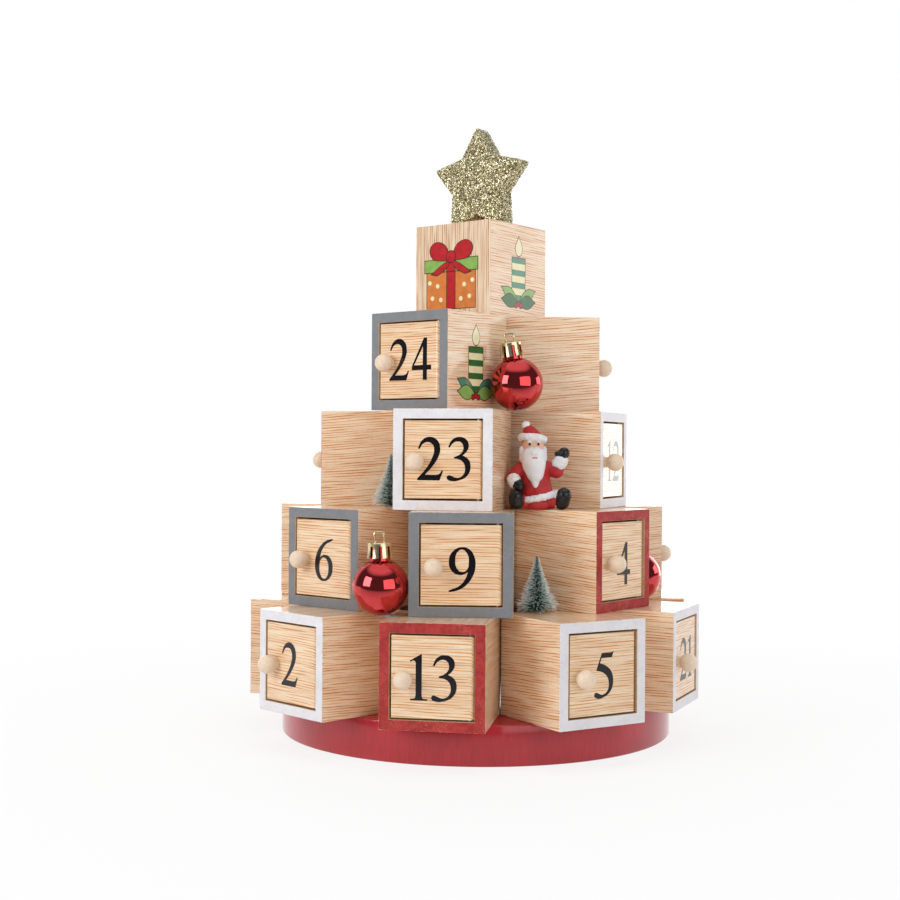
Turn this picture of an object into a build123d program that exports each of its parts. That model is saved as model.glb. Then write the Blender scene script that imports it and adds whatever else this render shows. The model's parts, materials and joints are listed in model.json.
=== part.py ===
from build123d import *
import math
import os

# Wooden advent calendar: a round base, four rings of small boxes with numbered doors on pins,
# a closed cube, a star on a peg, and baubles, bristle trees and a seated figure on the steps.
# Millimetres, +Z up, origin at the centre of the base's underside, -Y towards the viewer.

# Base
BASE_RADIUS = 114.6
BASE_THICKNESS = 22.0
BASE_EDGE_RADIUS = 1.0

# Boxes
BOX_WIDTH = 55.0
BOX_HEIGHT = 55.0
BOX_DEPTH = 55.0
WALL = 5.5
BACK_THICKNESS = 3.0
STOP_WIDTH = 3.0
STOP_DEPTH = 4.0
STOP_GAP = 0.3

# Doors, each turning on two pins inside its rounded right edge
DOOR_THICKNESS = 5.0
DOOR_GAP = 1.0
HINGE_GAP = 0.4
DOOR_SETBACK = 0.5
PIN_RADIUS = 0.8
PIN_IN_WALL = 4.0
PIN_IN_DOOR = 5.0
PIN_END_GAP = 0.3
PIN_WALL_CLEARANCE = 0.02
PIN_DOOR_CLEARANCE = 0.05

# Knobs, glued into the doors by a tenon
KNOB_RADIUS = 5.0
KNOB_REACH = 5.2
KNOB_NECK_RADIUS = 2.75
KNOB_EDGE_INSET = 6.8
KNOB_DROP = 1.2
TENON_RADIUS = 2.0
TENON_LENGTH = 3.0
GLUE_GAP = 0.05

# Closed cube on the top ring
CUBE_SIDE = 55.5
CUBE_YAW = -37.5
CUBE_PLACE_SHARES = (0.03, 0.045)

# Star and its peg
STAR_TIP_RADIUS = 34.0
STAR_NOTCH_RADIUS = 19.6
STAR_POINTS = 5
STAR_THICKNESS = 12.0
STAR_TIP_ROUNDING = 1.2
STAR_EDGE_RADIUS = 0.8
PEG_RADIUS = 2.0
PEG_IN_CUBE = 8.0
PEG_IN_STAR = 6.0

# Baubles: a ball with a neck, and a cap of downward tongues with a square eyelet
BAUBLE_RADIUS = 15.0
NECK_RADIUS = 5.6
NECK_RISE = 8.0
CAP_GAP = 0.1
CAP_SHEET = 0.8
CAP_DEPTH = 8.0
CAP_TONGUES = 8
CAP_SLOT = 2.2
CAP_SLOT_DEPTH = 6.5
EYELET_WIDTH = 6.5
EYELET_HEIGHT = 6.0
EYELET_WIRE = 1.2

# Bristle trees: a wire stem with strands set in a spiral
TREE_HEIGHT = 30.0
TREE_RADIUS = 12.3
TREE_TOP_RADIUS = 1.6
TREE_FLARE = 1.25
TREE_STRANDS = 200
TREE_FOOT = 1.2
STEM_RADIUS = 0.8
STRAND_SIDE = 0.45
STRAND_RISE = 14.0
GOLDEN_ANGLE = 180.0 * (3.0 - math.sqrt(5.0))

# Seated figure, cast in one piece
FIGURE_HEIGHT = 49.5
FIGURE_TURN = 16.0

# Small gap between a decoration and the box beside or below it
DECOR_GAP = 0.1
# Length by which every cut runs past the faces that it opens
OVERRUN = 1.0

# Rings from the base up. Each row is a box: its day, the bearing of its back from straight ahead
# and its extra turn there, in degrees to the viewer's right, and the share of BOX_WIDTH by which
# its back stands off the axis.
RING_SHARES = (
    (
        (17, -86.5, -12.0, 1.33), (2, -47.5, 2.0, 1.48), (13, -10.0, 1.5, 1.475),
        (5, 27.5, 4.5, 1.45), (21, 67.0, 0.0, 1.34), (8, 112.5, -22.5, 1.36),
        (19, 148.0, 0.0, 1.41), (10, 187.5, 0.0, 1.41), (15, 227.0, 0.0, 1.41),
    ),
    (
        (20, -106.5, 1.5, 1.09), (6, -62.5, 22.5, 1.02), (9, -6.5, 4.5, 1.00),
        (4, 49.5, 3.0, 0.90), (16, 107.0, -7.0, 0.98), (1, 155.5, 0.0, 1.14),
        (11, 204.0, 0.0, 1.14),
    ),
    (
        (18, -93.0, 3.0, 0.65), (23, -12.0, 0.5, 0.67), (12, 78.0, -9.0, 0.52),
        (7, 141.0, 0.0, 0.80), (14, 204.5, 0.0, 0.83),
    ),
    ((24, -19.0, -18.0, 0.305), (22, 75.0, 19.5, 0.255), (3, 208.0, 0.0, 0.32)),
)

# Decorations stand beside a box: the box's day, its left (-1) or right (1) side, and the share
# of BOX_DEPTH from its front. A bauble also has its lean to the viewer's left, in degrees.
BAUBLE_SHARES = ((9, -1, 0.11, 2.0), (24, 1, 0.80, 9.0), (4, 1, 0.34, 0.0))
TREE_SHARES = ((9, 1, 0.57), (23, -1, 0.80))
FIGURE_PLACE_SHARES = (23, 1, 0.75, 0.33)

# Figure, in shares of FIGURE_HEIGHT from the middle of its seat: x to the viewer's right,
# y to its back, z up. A limb runs between two balls: two centres, then two radii.
FIGURE_LIMB_SHARES = (
    ((0.02, 0.0, 0.12), (-0.01, 0.03, 0.46), 0.20, 0.15),
    ((-0.03, 0.01, 0.70), (-0.03, 0.005, 0.74), 0.135, 0.125),
    ((-0.03, -0.07, 0.60), (-0.01, -0.14, 0.28), 0.15, 0.05),
    ((-0.04, 0.02, 0.79), (-0.10, 0.012, 0.93), 0.122, 0.04),
    ((-0.15, 0.03, 0.47), (-0.27, -0.02, 0.33), 0.08, 0.07),
    ((-0.265, -0.025, 0.32), (-0.20, -0.13, 0.28), 0.072, 0.065),
    ((0.13, 0.03, 0.47), (0.24, -0.015, 0.42), 0.08, 0.075),
    ((0.245, -0.02, 0.425), (0.31, -0.06, 0.62), 0.072, 0.07),
    ((-0.10, -0.02, 0.09), (-0.22, -0.14, 0.105), 0.088, 0.095),
    ((0.13, -0.02, 0.085), (0.29, -0.14, 0.12), 0.086, 0.098),
)
FIGURE_POM_SHARES = (-0.11, 0.01, 0.95, 0.05)
FIGURE_BRIM_SHARES = (-0.035, 0.015, 0.80, 0.12, 0.035)

INNER_HALF_WIDTH = BOX_WIDTH / 2 - WALL
DOOR_FRONT = DOOR_SETBACK - BOX_DEPTH
DOOR_BACK = DOOR_FRONT + DOOR_THICKNESS
DOOR_BOTTOM = WALL + DOOR_GAP
DOOR_TOP = BOX_HEIGHT - DOOR_BOTTOM
PIVOT_X = INNER_HALF_WIDTH - HINGE_GAP - DOOR_THICKNESS / 2
PIVOT_Y = DOOR_FRONT + DOOR_THICKNESS / 2
KNOB_X = DOOR_GAP - INNER_HALF_WIDTH + KNOB_EDGE_INSET
KNOB_Z = BOX_HEIGHT / 2 - KNOB_DROP
CUBE_BOTTOM = BASE_THICKNESS + len(RING_SHARES) * BOX_HEIGHT


def block(x, y, z):
    """Block between the low and high ends given along each axis."""
    spans = (x, y, z)
    size = [high - low for low, high in spans]
    middle = [(high + low) / 2 for low, high in spans]
    return Pos(*middle) * Box(*size)


def upright(radius, bottom, top, x=0.0, y=0.0):
    """Round rod along Z."""
    return Pos(x, y, (bottom + top) / 2) * Cylinder(radius, top - bottom)


def fore_and_aft(radius, front, back, x, z):
    """Round rod along Y."""
    return Pos(x, (front + back) / 2, z) * Rot(90, 0, 0) * Cylinder(radius, back - front)


def box_places():
    """Place of every box, by its day: the bottom middle of its back, with -Y out of its door."""
    places = {}
    for tier, ring in enumerate(RING_SHARES):
        for day, bearing, turn, reach_share in ring:
            angle = math.radians(bearing)
            reach = reach_share * BOX_WIDTH
            spot = (reach * math.sin(angle), -reach * math.cos(angle), BASE_THICKNESS + tier * BOX_HEIGHT)
            places[day] = Location(spot, (0, 0, bearing + turn))
    return places


PLACES = box_places()


def beside(day, side, depth_share, reach):
    """Place on the step beside a box, reach away from its side."""
    along = -BOX_DEPTH * (1 - depth_share)
    return PLACES[day] * Pos(side * (BOX_WIDTH / 2 + reach), along, 0)


def pin_hole(bottom, top, clearance):
    return upright(PIN_RADIUS + clearance, bottom, top, PIVOT_X, PIVOT_Y)


def box_panels():
    """Floor, roof, two sides, inset back and door stop of one box."""
    half = BOX_WIDTH / 2
    roof = BOX_HEIGHT - WALL
    depth = (-BOX_DEPTH, 0)
    between = (WALL, roof)
    floor = block((-half, half), depth, (0, WALL))
    floor -= pin_hole(WALL - PIN_IN_WALL, WALL + OVERRUN, PIN_WALL_CLEARANCE)
    top = block((-half, half), depth, (roof, BOX_HEIGHT))
    top -= pin_hole(roof - OVERRUN, roof + PIN_IN_WALL, PIN_WALL_CLEARANCE)
    left = block((-half, -INNER_HALF_WIDTH), depth, between)
    right = block((INNER_HALF_WIDTH, half), depth, between)
    back = block((-INNER_HALF_WIDTH, INNER_HALF_WIDTH), (-BACK_THICKNESS, 0), between)
    stop_front = DOOR_BACK + STOP_GAP
    stop_inside = STOP_WIDTH - INNER_HALF_WIDTH
    stop = block((-INNER_HALF_WIDTH, stop_inside), (stop_front, stop_front + STOP_DEPTH), between)
    return [floor, top, left, right, back, stop]


def door():
    """Door plate with a rounded hinge edge, holes for its pins and a socket for its knob."""
    free_edge = DOOR_GAP - INNER_HALF_WIDTH
    plate = block((free_edge, PIVOT_X), (DOOR_FRONT, DOOR_BACK), (DOOR_BOTTOM, DOOR_TOP))
    plate += upright(DOOR_THICKNESS / 2, DOOR_BOTTOM, DOOR_TOP, PIVOT_X, PIVOT_Y)
    hole_depth = PIN_IN_DOOR + PIN_END_GAP
    plate -= pin_hole(DOOR_BOTTOM - OVERRUN, DOOR_BOTTOM + hole_depth, PIN_DOOR_CLEARANCE)
    plate -= pin_hole(DOOR_TOP - hole_depth, DOOR_TOP + OVERRUN, PIN_DOOR_CLEARANCE)
    socket_end = DOOR_FRONT + TENON_LENGTH + GLUE_GAP
    plate -= fore_and_aft(TENON_RADIUS + GLUE_GAP, DOOR_FRONT - OVERRUN, socket_end, KNOB_X, KNOB_Z)
    return plate


def knob():
    """Turned ball on a neck, with its tenon."""
    middle = DOOR_FRONT - KNOB_REACH
    ball = Pos(KNOB_X, middle, KNOB_Z) * Sphere(KNOB_RADIUS)
    neck = fore_and_aft(KNOB_NECK_RADIUS, middle, DOOR_FRONT, KNOB_X, KNOB_Z)
    tenon = fore_and_aft(TENON_RADIUS, DOOR_FRONT, DOOR_FRONT + TENON_LENGTH, KNOB_X, KNOB_Z)
    return ball + neck + tenon


def door_pins():
    """Lower and upper pin of one door, set in the box's floor and roof."""
    lower = upright(PIN_RADIUS, WALL - PIN_IN_WALL, DOOR_BOTTOM + PIN_IN_DOOR, PIVOT_X, PIVOT_Y)
    upper_end = BOX_HEIGHT - WALL + PIN_IN_WALL
    upper = upright(PIN_RADIUS, DOOR_TOP - PIN_IN_DOOR, upper_end, PIVOT_X, PIVOT_Y)
    return [lower, upper]


def base_disc():
    disc = upright(BASE_RADIUS, 0, BASE_THICKNESS)
    return fillet(disc.edges().filter_by(GeomType.CIRCLE), BASE_EDGE_RADIUS)


CUBE_PLACE = Location((*(share * BOX_WIDTH for share in CUBE_PLACE_SHARES), CUBE_BOTTOM), (0, 0, CUBE_YAW))


def top_cube():
    """Closed cube with a hole for the star's peg."""
    half = CUBE_SIDE / 2
    cube = block((-half, half), (-half, half), (0, CUBE_SIDE))
    cube -= upright(PEG_RADIUS + GLUE_GAP, CUBE_SIDE - PEG_IN_CUBE, CUBE_SIDE + OVERRUN)
    return CUBE_PLACE * cube


def star_and_peg():
    """Star upright on its two lower tips, and the peg that holds it."""
    half_step = math.pi / STAR_POINTS
    corners = []
    for index in range(2 * STAR_POINTS):
        radius = STAR_NOTCH_RADIUS if index % 2 else STAR_TIP_RADIUS
        angle = math.pi / 2 + index * half_step
        corners.append((radius * math.cos(angle), radius * math.sin(angle)))
    outline = make_face(Polyline(*corners, close=True))
    middle_radius = (STAR_TIP_RADIUS + STAR_NOTCH_RADIUS) / 2
    tips = [corner for corner in outline.vertices() if math.hypot(corner.X, corner.Y) > middle_radius]
    outline = fillet(tips, STAR_TIP_ROUNDING)
    star = extrude(outline, STAR_THICKNESS / 2, both=True)
    rims = [edge for edge in star.edges() if abs(edge.center().Z) > STAR_THICKNESS / 2 - STAR_EDGE_RADIUS]
    star = Rot(90, 0, 0) * fillet(rims, STAR_EDGE_RADIUS)
    foot = star.bounding_box().min.Z
    seat = CUBE_SIDE - foot
    socket_end = seat - STAR_NOTCH_RADIUS + PEG_IN_STAR
    star = Pos(0, 0, seat) * star
    star -= upright(PEG_RADIUS + GLUE_GAP, CUBE_SIDE, socket_end)
    peg = upright(PEG_RADIUS, CUBE_SIDE - PEG_IN_CUBE, socket_end)
    return [CUBE_PLACE * star, CUBE_PLACE * peg]


def bauble_place(day, side, depth_share, lean):
    """Place of a bauble's middle, turned back to the viewer and leaned to their left."""
    spot = beside(day, side, depth_share, BAUBLE_RADIUS + DECOR_GAP).position
    return Location((spot.X, spot.Y, spot.Z + BAUBLE_RADIUS + DECOR_GAP), (0, -lean, 0))


def bauble_ball():
    return Sphere(BAUBLE_RADIUS) + upright(NECK_RADIUS, 0, BAUBLE_RADIUS + NECK_RISE)


def bauble_cap():
    """Cap over the neck: a lid, tongues that point down around it and an eyelet on top."""
    inside = NECK_RADIUS + CAP_GAP
    lid = BAUBLE_RADIUS + NECK_RISE
    top = lid + CAP_SHEET
    mouth = top - CAP_DEPTH
    cap = upright(inside + CAP_SHEET, mouth, top) - upright(inside, mouth - OVERRUN, lid)
    slot_reach = inside + CAP_SHEET + OVERRUN
    slot = block((0, slot_reach), (-CAP_SLOT / 2, CAP_SLOT / 2), (mouth - OVERRUN, mouth + CAP_SLOT_DEPTH))
    slot -= upright(NECK_RADIUS, mouth - OVERRUN, top)
    for index in range(CAP_TONGUES):
        cap -= Rot(0, 0, index * 360 / CAP_TONGUES) * slot
    half = EYELET_WIDTH / 2
    wire = (-EYELET_WIRE / 2, EYELET_WIRE / 2)
    eyelet = block((-half, half), wire, (lid + CAP_SHEET / 2, top + EYELET_HEIGHT))
    window_top = top + EYELET_HEIGHT - EYELET_WIRE
    window = block((EYELET_WIRE - half, half - EYELET_WIRE), (-OVERRUN, OVERRUN), (top, window_top))
    return cap + (eyelet - window)


def tree():
    """Wire stem with strands in a spiral, longest at the foot, joined in one fuse."""
    stem = upright(STEM_RADIUS, 0, TREE_HEIGHT)
    step = (TREE_HEIGHT - TREE_FOOT - STRAND_SIDE) / TREE_STRANDS
    side = (-STRAND_SIDE / 2, STRAND_SIDE / 2)
    strands = []
    for index in range(TREE_STRANDS):
        climb = index / TREE_STRANDS
        reach = TREE_TOP_RADIUS + (TREE_RADIUS - TREE_TOP_RADIUS) * (1 - climb) ** TREE_FLARE
        length = reach / math.cos(math.radians(STRAND_RISE))
        strand = block((STEM_RADIUS / 2, length), side, side)
        aim = Rot(0, 0, index * GOLDEN_ANGLE) * Rot(0, -STRAND_RISE, 0)
        strands.append(Pos(0, 0, TREE_FOOT + index * step) * aim * strand)
    return stem.fuse(*strands)


def limb(start, end, start_radius, end_radius):
    """Two balls joined by the cone that touches both, turned in one piece."""
    axis = Vector(end) - Vector(start)
    quarter = math.pi / 2
    slope = math.asin((start_radius - end_radius) / axis.length)

    def rim(radius, height, angle):
        return (radius * math.cos(angle), height + radius * math.sin(angle))

    low = [rim(start_radius, 0, angle) for angle in (-quarter, (slope - quarter) / 2, slope)]
    high = [rim(end_radius, axis.length, angle) for angle in (slope, (slope + quarter) / 2, quarter)]
    outline = [ThreePointArc(*low), Line(low[-1], high[0]), ThreePointArc(*high), Line(high[-1], low[0])]
    turned = revolve(Plane.XZ * make_face(outline), Axis.Z)
    return Plane(origin=start, z_dir=axis).location * turned


def seated_figure():
    """Figure of limbs, a hat brim and a pom in one fuse, cut flat where it sits."""
    pieces = []
    for start, end, start_share, end_share in FIGURE_LIMB_SHARES:
        ends = [tuple(share * FIGURE_HEIGHT for share in point) for point in (start, end)]
        pieces.append(limb(*ends, start_share * FIGURE_HEIGHT, end_share * FIGURE_HEIGHT))
    x, y, z, radius = (share * FIGURE_HEIGHT for share in FIGURE_POM_SHARES)
    pieces.append(Pos(x, y, z) * Sphere(radius))
    x, y, z, radius, roll = (share * FIGURE_HEIGHT for share in FIGURE_BRIM_SHARES)
    pieces.append(Pos(x, y, z) * Torus(radius, roll))
    around = (-FIGURE_HEIGHT, FIGURE_HEIGHT)
    return pieces[0].fuse(*pieces[1:]) - block(around, around, (-FIGURE_HEIGHT, 0))


def decorations():
    """Nodes of the baubles, the trees and the figure."""
    ball = bauble_ball()
    cap = bauble_cap()
    fir = tree()
    bauble_spots = [bauble_place(*row) for row in BAUBLE_SHARES]
    tree_spots = [beside(*row, TREE_RADIUS + DECOR_GAP) for row in TREE_SHARES]
    day, side, depth_share, reach_share = FIGURE_PLACE_SHARES
    seat = beside(day, side, depth_share, reach_share * FIGURE_HEIGHT) * Rot(0, 0, FIGURE_TURN)
    return {
        "bauble_balls": [spot * ball for spot in bauble_spots],
        "bauble_caps": [spot * cap for spot in bauble_spots],
        "trees": [spot * fir for spot in tree_spots],
        "seated_figure": [seat * seated_figure()],
    }


def nodes():
    """Every node of the calendar with its solids."""
    panels = box_panels()
    leaf = door()
    grip = knob()
    pins = door_pins()
    named = {"base_disc": [base_disc()], "top_cube": [top_cube()], "star": star_and_peg(), "hinge_pins": []}
    for tier, ring in enumerate(RING_SHARES):
        boxes = []
        for day, *_ in ring:
            place = PLACES[day]
            boxes += [place * panel for panel in panels]
            named["hinge_pins"] += [place * pin for pin in pins]
            named[f"door_{day:02d}"] = [place * leaf]
            named[f"knob_{day:02d}"] = [place * grip]
        named[f"tier_{tier + 1}_boxes"] = boxes
    named.update(decorations())
    return named


os.makedirs("parts", exist_ok=True)
for name, shapes in nodes().items():
    solids = [solid for shape in shapes for solid in shape.solids()]
    export_step(Compound(solids), f"parts/{name}.step")
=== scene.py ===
import json
import math
import random

import bmesh
import bpy
from mathutils import Color, Matrix, Vector, noise


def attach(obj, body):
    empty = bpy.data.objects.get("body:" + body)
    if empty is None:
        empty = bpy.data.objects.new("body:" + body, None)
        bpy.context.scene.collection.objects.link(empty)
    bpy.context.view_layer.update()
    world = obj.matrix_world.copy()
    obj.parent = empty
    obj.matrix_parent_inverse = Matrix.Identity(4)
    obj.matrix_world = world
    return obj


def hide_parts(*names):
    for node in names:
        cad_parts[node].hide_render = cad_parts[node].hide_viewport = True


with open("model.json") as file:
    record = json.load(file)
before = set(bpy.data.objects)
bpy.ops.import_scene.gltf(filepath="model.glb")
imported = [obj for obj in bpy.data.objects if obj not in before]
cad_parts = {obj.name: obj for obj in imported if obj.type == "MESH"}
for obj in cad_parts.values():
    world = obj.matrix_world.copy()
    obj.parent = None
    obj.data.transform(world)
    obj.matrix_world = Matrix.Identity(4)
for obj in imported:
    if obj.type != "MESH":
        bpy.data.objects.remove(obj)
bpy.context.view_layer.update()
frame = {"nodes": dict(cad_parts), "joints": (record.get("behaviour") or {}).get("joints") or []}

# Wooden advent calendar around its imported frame. Lengths are in millimetres, in the local frame of
# the piece that carries them, angles in degrees, and colours are 0 to 255 display values.
MM = 0.001
QUARTER_TURN = 90.0
DISPLAY_WHITE = 255
PURE_WHITE = (255, 255, 255)
WHITE_LIGHT = (1.0, 1.0, 1.0, 1.0)
TOWER = "tower"
OWN = "own"
TIP = "tip"

# Base
BASE_RADIUS = 114.6
BASE_THICKNESS = 22.0
BASE_EDGE_RADIUS = 1.0
BASE_STEPS = 240

# Boxes and doors
BOX_WIDTH = 55.0
BOX_HEIGHT = 55.0
BOX_DEPTH = 55.0
BOX_RINGS = 4
WALL = 5.5
BACK_THICKNESS = 3.0
BOX_EDGE = 0.45
STOP_WIDTH = 3.0
STOP_DEPTH = 4.0
STOP_GAP = 0.3
DOOR_THICKNESS = 5.0
DOOR_GAP = 1.0
HINGE_GAP = 0.4
DOOR_SETBACK = 0.5
DOOR_EDGE = 0.22
FREE_EDGE_SHARE = 0.999
WRAP_SHARE = 0.35
EDGE_STEPS = 3
ROUND_STEPS = 12
ROUND_PROFILE = 0.5
SMOOTH_ANGLE = 40.0
ALL_SMOOTH = 180.0

# Knobs
KNOB_RADIUS = 5.0
KNOB_REACH = 5.2
KNOB_NECK_RADIUS = 2.75
KNOB_EDGE_INSET = 6.8
KNOB_DROP = 1.2
KNOB_FOOT = 0.4
KNOB_STEPS = 40

# Numerals
DIGIT_HEIGHT = 23.2
DIGIT_SPACE_SHARE = 0.10
DIGIT_MIDDLE_SHARE = 0.5
INK = 0.03
INK_SPREAD = 0.13
OUTLINE_STEPS = 8

# Cube, star and peg
CUBE_SIDE = 55.5
CUBE_YAW = -37.5
CUBE_PLACE_SHARES = (0.03, 0.045)
CUBE_EDGE = 0.5
STAR_TIP_RADIUS = 34.0
STAR_NOTCH_RADIUS = 19.6
STAR_POINTS = 5
STAR_THICKNESS = 12.0
STAR_TIP_ROUNDING = 1.2
STAR_COAT = 0.35
STAR_EDGE = 0.8
STAR_SEED = 24
FLAKE = 0.62
FLAKE_JITTER = 0.15
PEG_RADIUS = 2.0
PEG_SHOWN = 13.0

# Baubles
BAUBLE_RADIUS = 15.0
BALL_STEPS = 64
NECK_RADIUS = 5.6
NECK_RISE = 8.0
CAP_SHEET = 0.45
CAP_RADIUS = 6.35
CAP_FLARE = 0.55
CAP_DEPTH = 8.0
CAP_TONGUES = 8
CAP_STEPS = 8
CAP_SLOT_SHARE = 0.36
CAP_SLOT_DEPTH = 6.2
EYELET_WIDTH = 6.5
EYELET_HEIGHT = 6.0
EYELET_WIRE = 1.5
EYELET_BEND = 1.0
EYELET_SIDES = 12

# Trees; angles round the stem are in radians
TREE_HEIGHT = 30.0
TREE_RADIUS = 12.3
TREE_TOP_RADIUS = 1.4
TREE_FLARE = 1.25
TREE_FOOT = 1.0
TREE_STRANDS = 1500
TREE_UNEVEN_SHARE = 0.28
STEM_RADIUS = 0.7
STEM_SIDES = 8
STRAND_RADIUS = 0.16
STRAND_SIDES = 3
STRAND_POINTS = 4
STRAND_TAPER_SHARE = 0.35
STRAND_DROOP_SHARE = 0.10
STRAND_RISE = (0.0, 26.0)
STRAND_DRIFT = 0.2
GOLDEN_ANGLE = math.pi * (3.0 - math.sqrt(5.0))

# Seated figure; roughness is a reach and the size of its bumps
FIGURE_HEIGHT = 49.5
FIGURE_TURN = 16.0
FIGURE_VOXEL = 0.42
FINE_VOXEL = 0.16
FUR_ROUGHNESS = (0.5, 1.5)
FINE_PARTS = ("eyes", "lip", "dots", "brow")
SLEEK_PARTS = ("beard", "moustache")
RING_STEPS = 40
SKIN_SMOOTHING = 3
LIMB_SUBDIVISIONS = 3

# Glue: a mound under each tree and a dab under two of the baubles
MOUND_RADII = (4.2, 3.6)
MOUND_LIFT = 0.4
MOUND_VOXEL = 0.5
MOUND_HEIGHT_SHARE = 0.30
DAB_OFFSETS = ((5.0, -4.0), (2.0, -5.0))
DAB_RADII = (3.0, 1.8)
DAB_TAPER_SHARE = 0.7
DAB_VOXEL = 0.35
DAB_ROUGHNESS = (0.25, 1.6)
DAB_HEIGHT_SHARE = 0.5
DECOR_GAP = 0.1

# Motifs printed on the cube and on one box
MOTIF_LINE = 0.45
MOTIF_LAYER = 0.012
GIFT_WIDTH = 36.0
GIFT_HEIGHT = 22.0
GIFT_LID = 7.0
GIFT_LID_OVERHANG = 1.6
GIFT_RIBBON = 6.0
GIFT_FOOT = 5.5
GIFT_SHIFT = -1.0
BOW_REACH = 15.0
BOW_RISE = 9.5
DOT_RADIUS = 1.35
CANDLE_WIDTH = 13.0
CANDLE_HEIGHT = 27.0
CANDLE_BANDS = 3
BAND_HEIGHT = 3.8
FLAME_HEIGHT = 11.0
FLAME_WIDTH = 6.4
WICK_WIDTH = 0.7
WICK_HEIGHT = 2.2
LEAF_REACH = 16.5
LEAF_RISE = 10.5
CUBE_CANDLE_FOOT = 5.0
BOX_CANDLE_DAY = 24
BOX_CANDLE_FOOT = 4.5
BOX_CANDLE_DEPTH_SHARE = 0.47

# Motif shapes: shares across and up, and 1 for a smooth point or 0 for a corner
BOW_SHARES = (
    ((0, 0, 0), (0.45, -0.35, 1), (0.95, -0.85, 0), (0.70, -0.95, 0), (0.2, -0.5, 1)),
    ((0, 0, 0), (0.45, 1, 1), (1, 0.85, 1), (0.95, 0.2, 1), (0.45, -0.05, 1)),
)
FLAME_SHARES = ((0, 0, 1), (0.5, 0.32, 1), (0, 1, 0), (-0.5, 0.32, 1))
DOT_SHARES = ((0.30, 0.25), (0.72, 0.30), (0.46, 0.62), (0.86, 0.72))
KNOT_SHARES = (0.15, 0.55)
LEAF_OVER_SHARES = (0.5, 0.42)
LEAF_UNDER_SHARES = (0.55, -0.30)
LEAF_BEND_SHARE = 0.5
LEAF_LEAN_SHARES = (0.85, 0.20)
BERRY_SHARES = (1.8, 0.6)
CANDLE_FOOT_SHARE = 0.35
FLAME_FOOT_SHARE = 0.6
BAND_TOP_SHARE = 0.7

INNER_HALF_WIDTH = BOX_WIDTH / 2 - WALL
DOOR_FRONT = DOOR_SETBACK - BOX_DEPTH
DOOR_BACK = DOOR_FRONT + DOOR_THICKNESS
DOOR_BOTTOM = WALL + DOOR_GAP
DOOR_TOP = BOX_HEIGHT - DOOR_BOTTOM
PIVOT_X = INNER_HALF_WIDTH - HINGE_GAP - DOOR_THICKNESS / 2
PIVOT_Y = DOOR_FRONT + DOOR_THICKNESS / 2
KNOB_X = DOOR_GAP - INNER_HALF_WIDTH + KNOB_EDGE_INSET
KNOB_Z = BOX_HEIGHT / 2 - KNOB_DROP

# Paint of each box's front, by its day
RED_DAYS = (13, 4, 17, 10, 1, 18, 3)
GREY_DAYS = (6, 9, 24, 8, 15, 16, 7)

# Grain: pitch and length of its strokes, then sizes across and along it of slower changes
BOLD_STROKE = (1.45, 26.0)
FINE_STROKE = (0.85, 18.0)
SWAY_SIZE = (11.0, 42.0)
SWAY_REACH = 2.2
TONE_SIZE = (2.4, 38.0)
SPECK_SIZE = (0.3, 2.2)
FIBRE_SIZE = (1.1, 14.0)
KNOB_FIBRE_SIZE = (0.9, 7.0)
PORE_SIZE = (0.25, 2.0)
SHIFT_REACH = (431.0, 277.0, 613.0)

# Strokes in shares of their pitch: where their middles lie, half their width and the soft edge;
# the swell is the part of the noise over which a stroke grows from nothing to its full width
STROKE_MIDDLE_SHARES = (0.34, 0.66)
STROKE_HALF_SHARE = 0.22
STROKE_SOFT_SHARE = 0.1
STROKE_SWELL_SHARES = (0.26, 0.62)
STROKE_SHUFFLE = 57.3
STROKE_SPREAD = 991.0
LEVEL_SLANT_SHARE = 0.02
DEEP_SLANT_SHARE = 0.12

# Sizes of what is uneven in paint, metal, frost, resin and glue
PAINT_MOTTLE = 9.0
PAINT_GRAIN = 0.5
SMEAR_SIZE = 2.6
PATCH_SIZE = 12.0
RUB_SIZE = 0.8
CHIP_SIZE = 1.6
BRUSH_SIZE = (0.9, 0.9, 9.0)
BASE_MOTTLE = 24.0
METAL_WAVE = 3.0
METAL_HAZE = 0.8
FROST_SIZE = 1.4
RESIN_MOTTLE = 4.0
RESIN_SKIN = 1.2
FUR_SKIN = 0.9
INK_SKIN = 0.6
GLUE_CLOUD = 1.5

# Octaves of noise, some with its roughness
FEW_OCTAVES = 1.0
MORE_OCTAVES = 3.0
FIBRE_OCTAVES = (4.0, 0.6)
BRUSH_OCTAVES = (3.0, 0.6)
SMEAR_OCTAVES = (3.0, 0.65)
RUB_OCTAVES = (3.0, 0.7)

# Parts of a noise over which a colour or a mark changes
USUAL_SPAN = (0.3, 0.7)
TONE_SPAN = (0.32, 0.68)
BOLD_SPAN = (0.35, 0.65)
SPECK_SPAN = (0.3, 0.55)
PORE_SPAN = (0.3, 0.5)
PAINT_SPAN = (0.38, 0.62)
RESIN_SPAN = (0.35, 0.7)
PATCH_SPAN = (0.50, 0.66)
RUB_SPAN = (0.54, 0.68)

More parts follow.
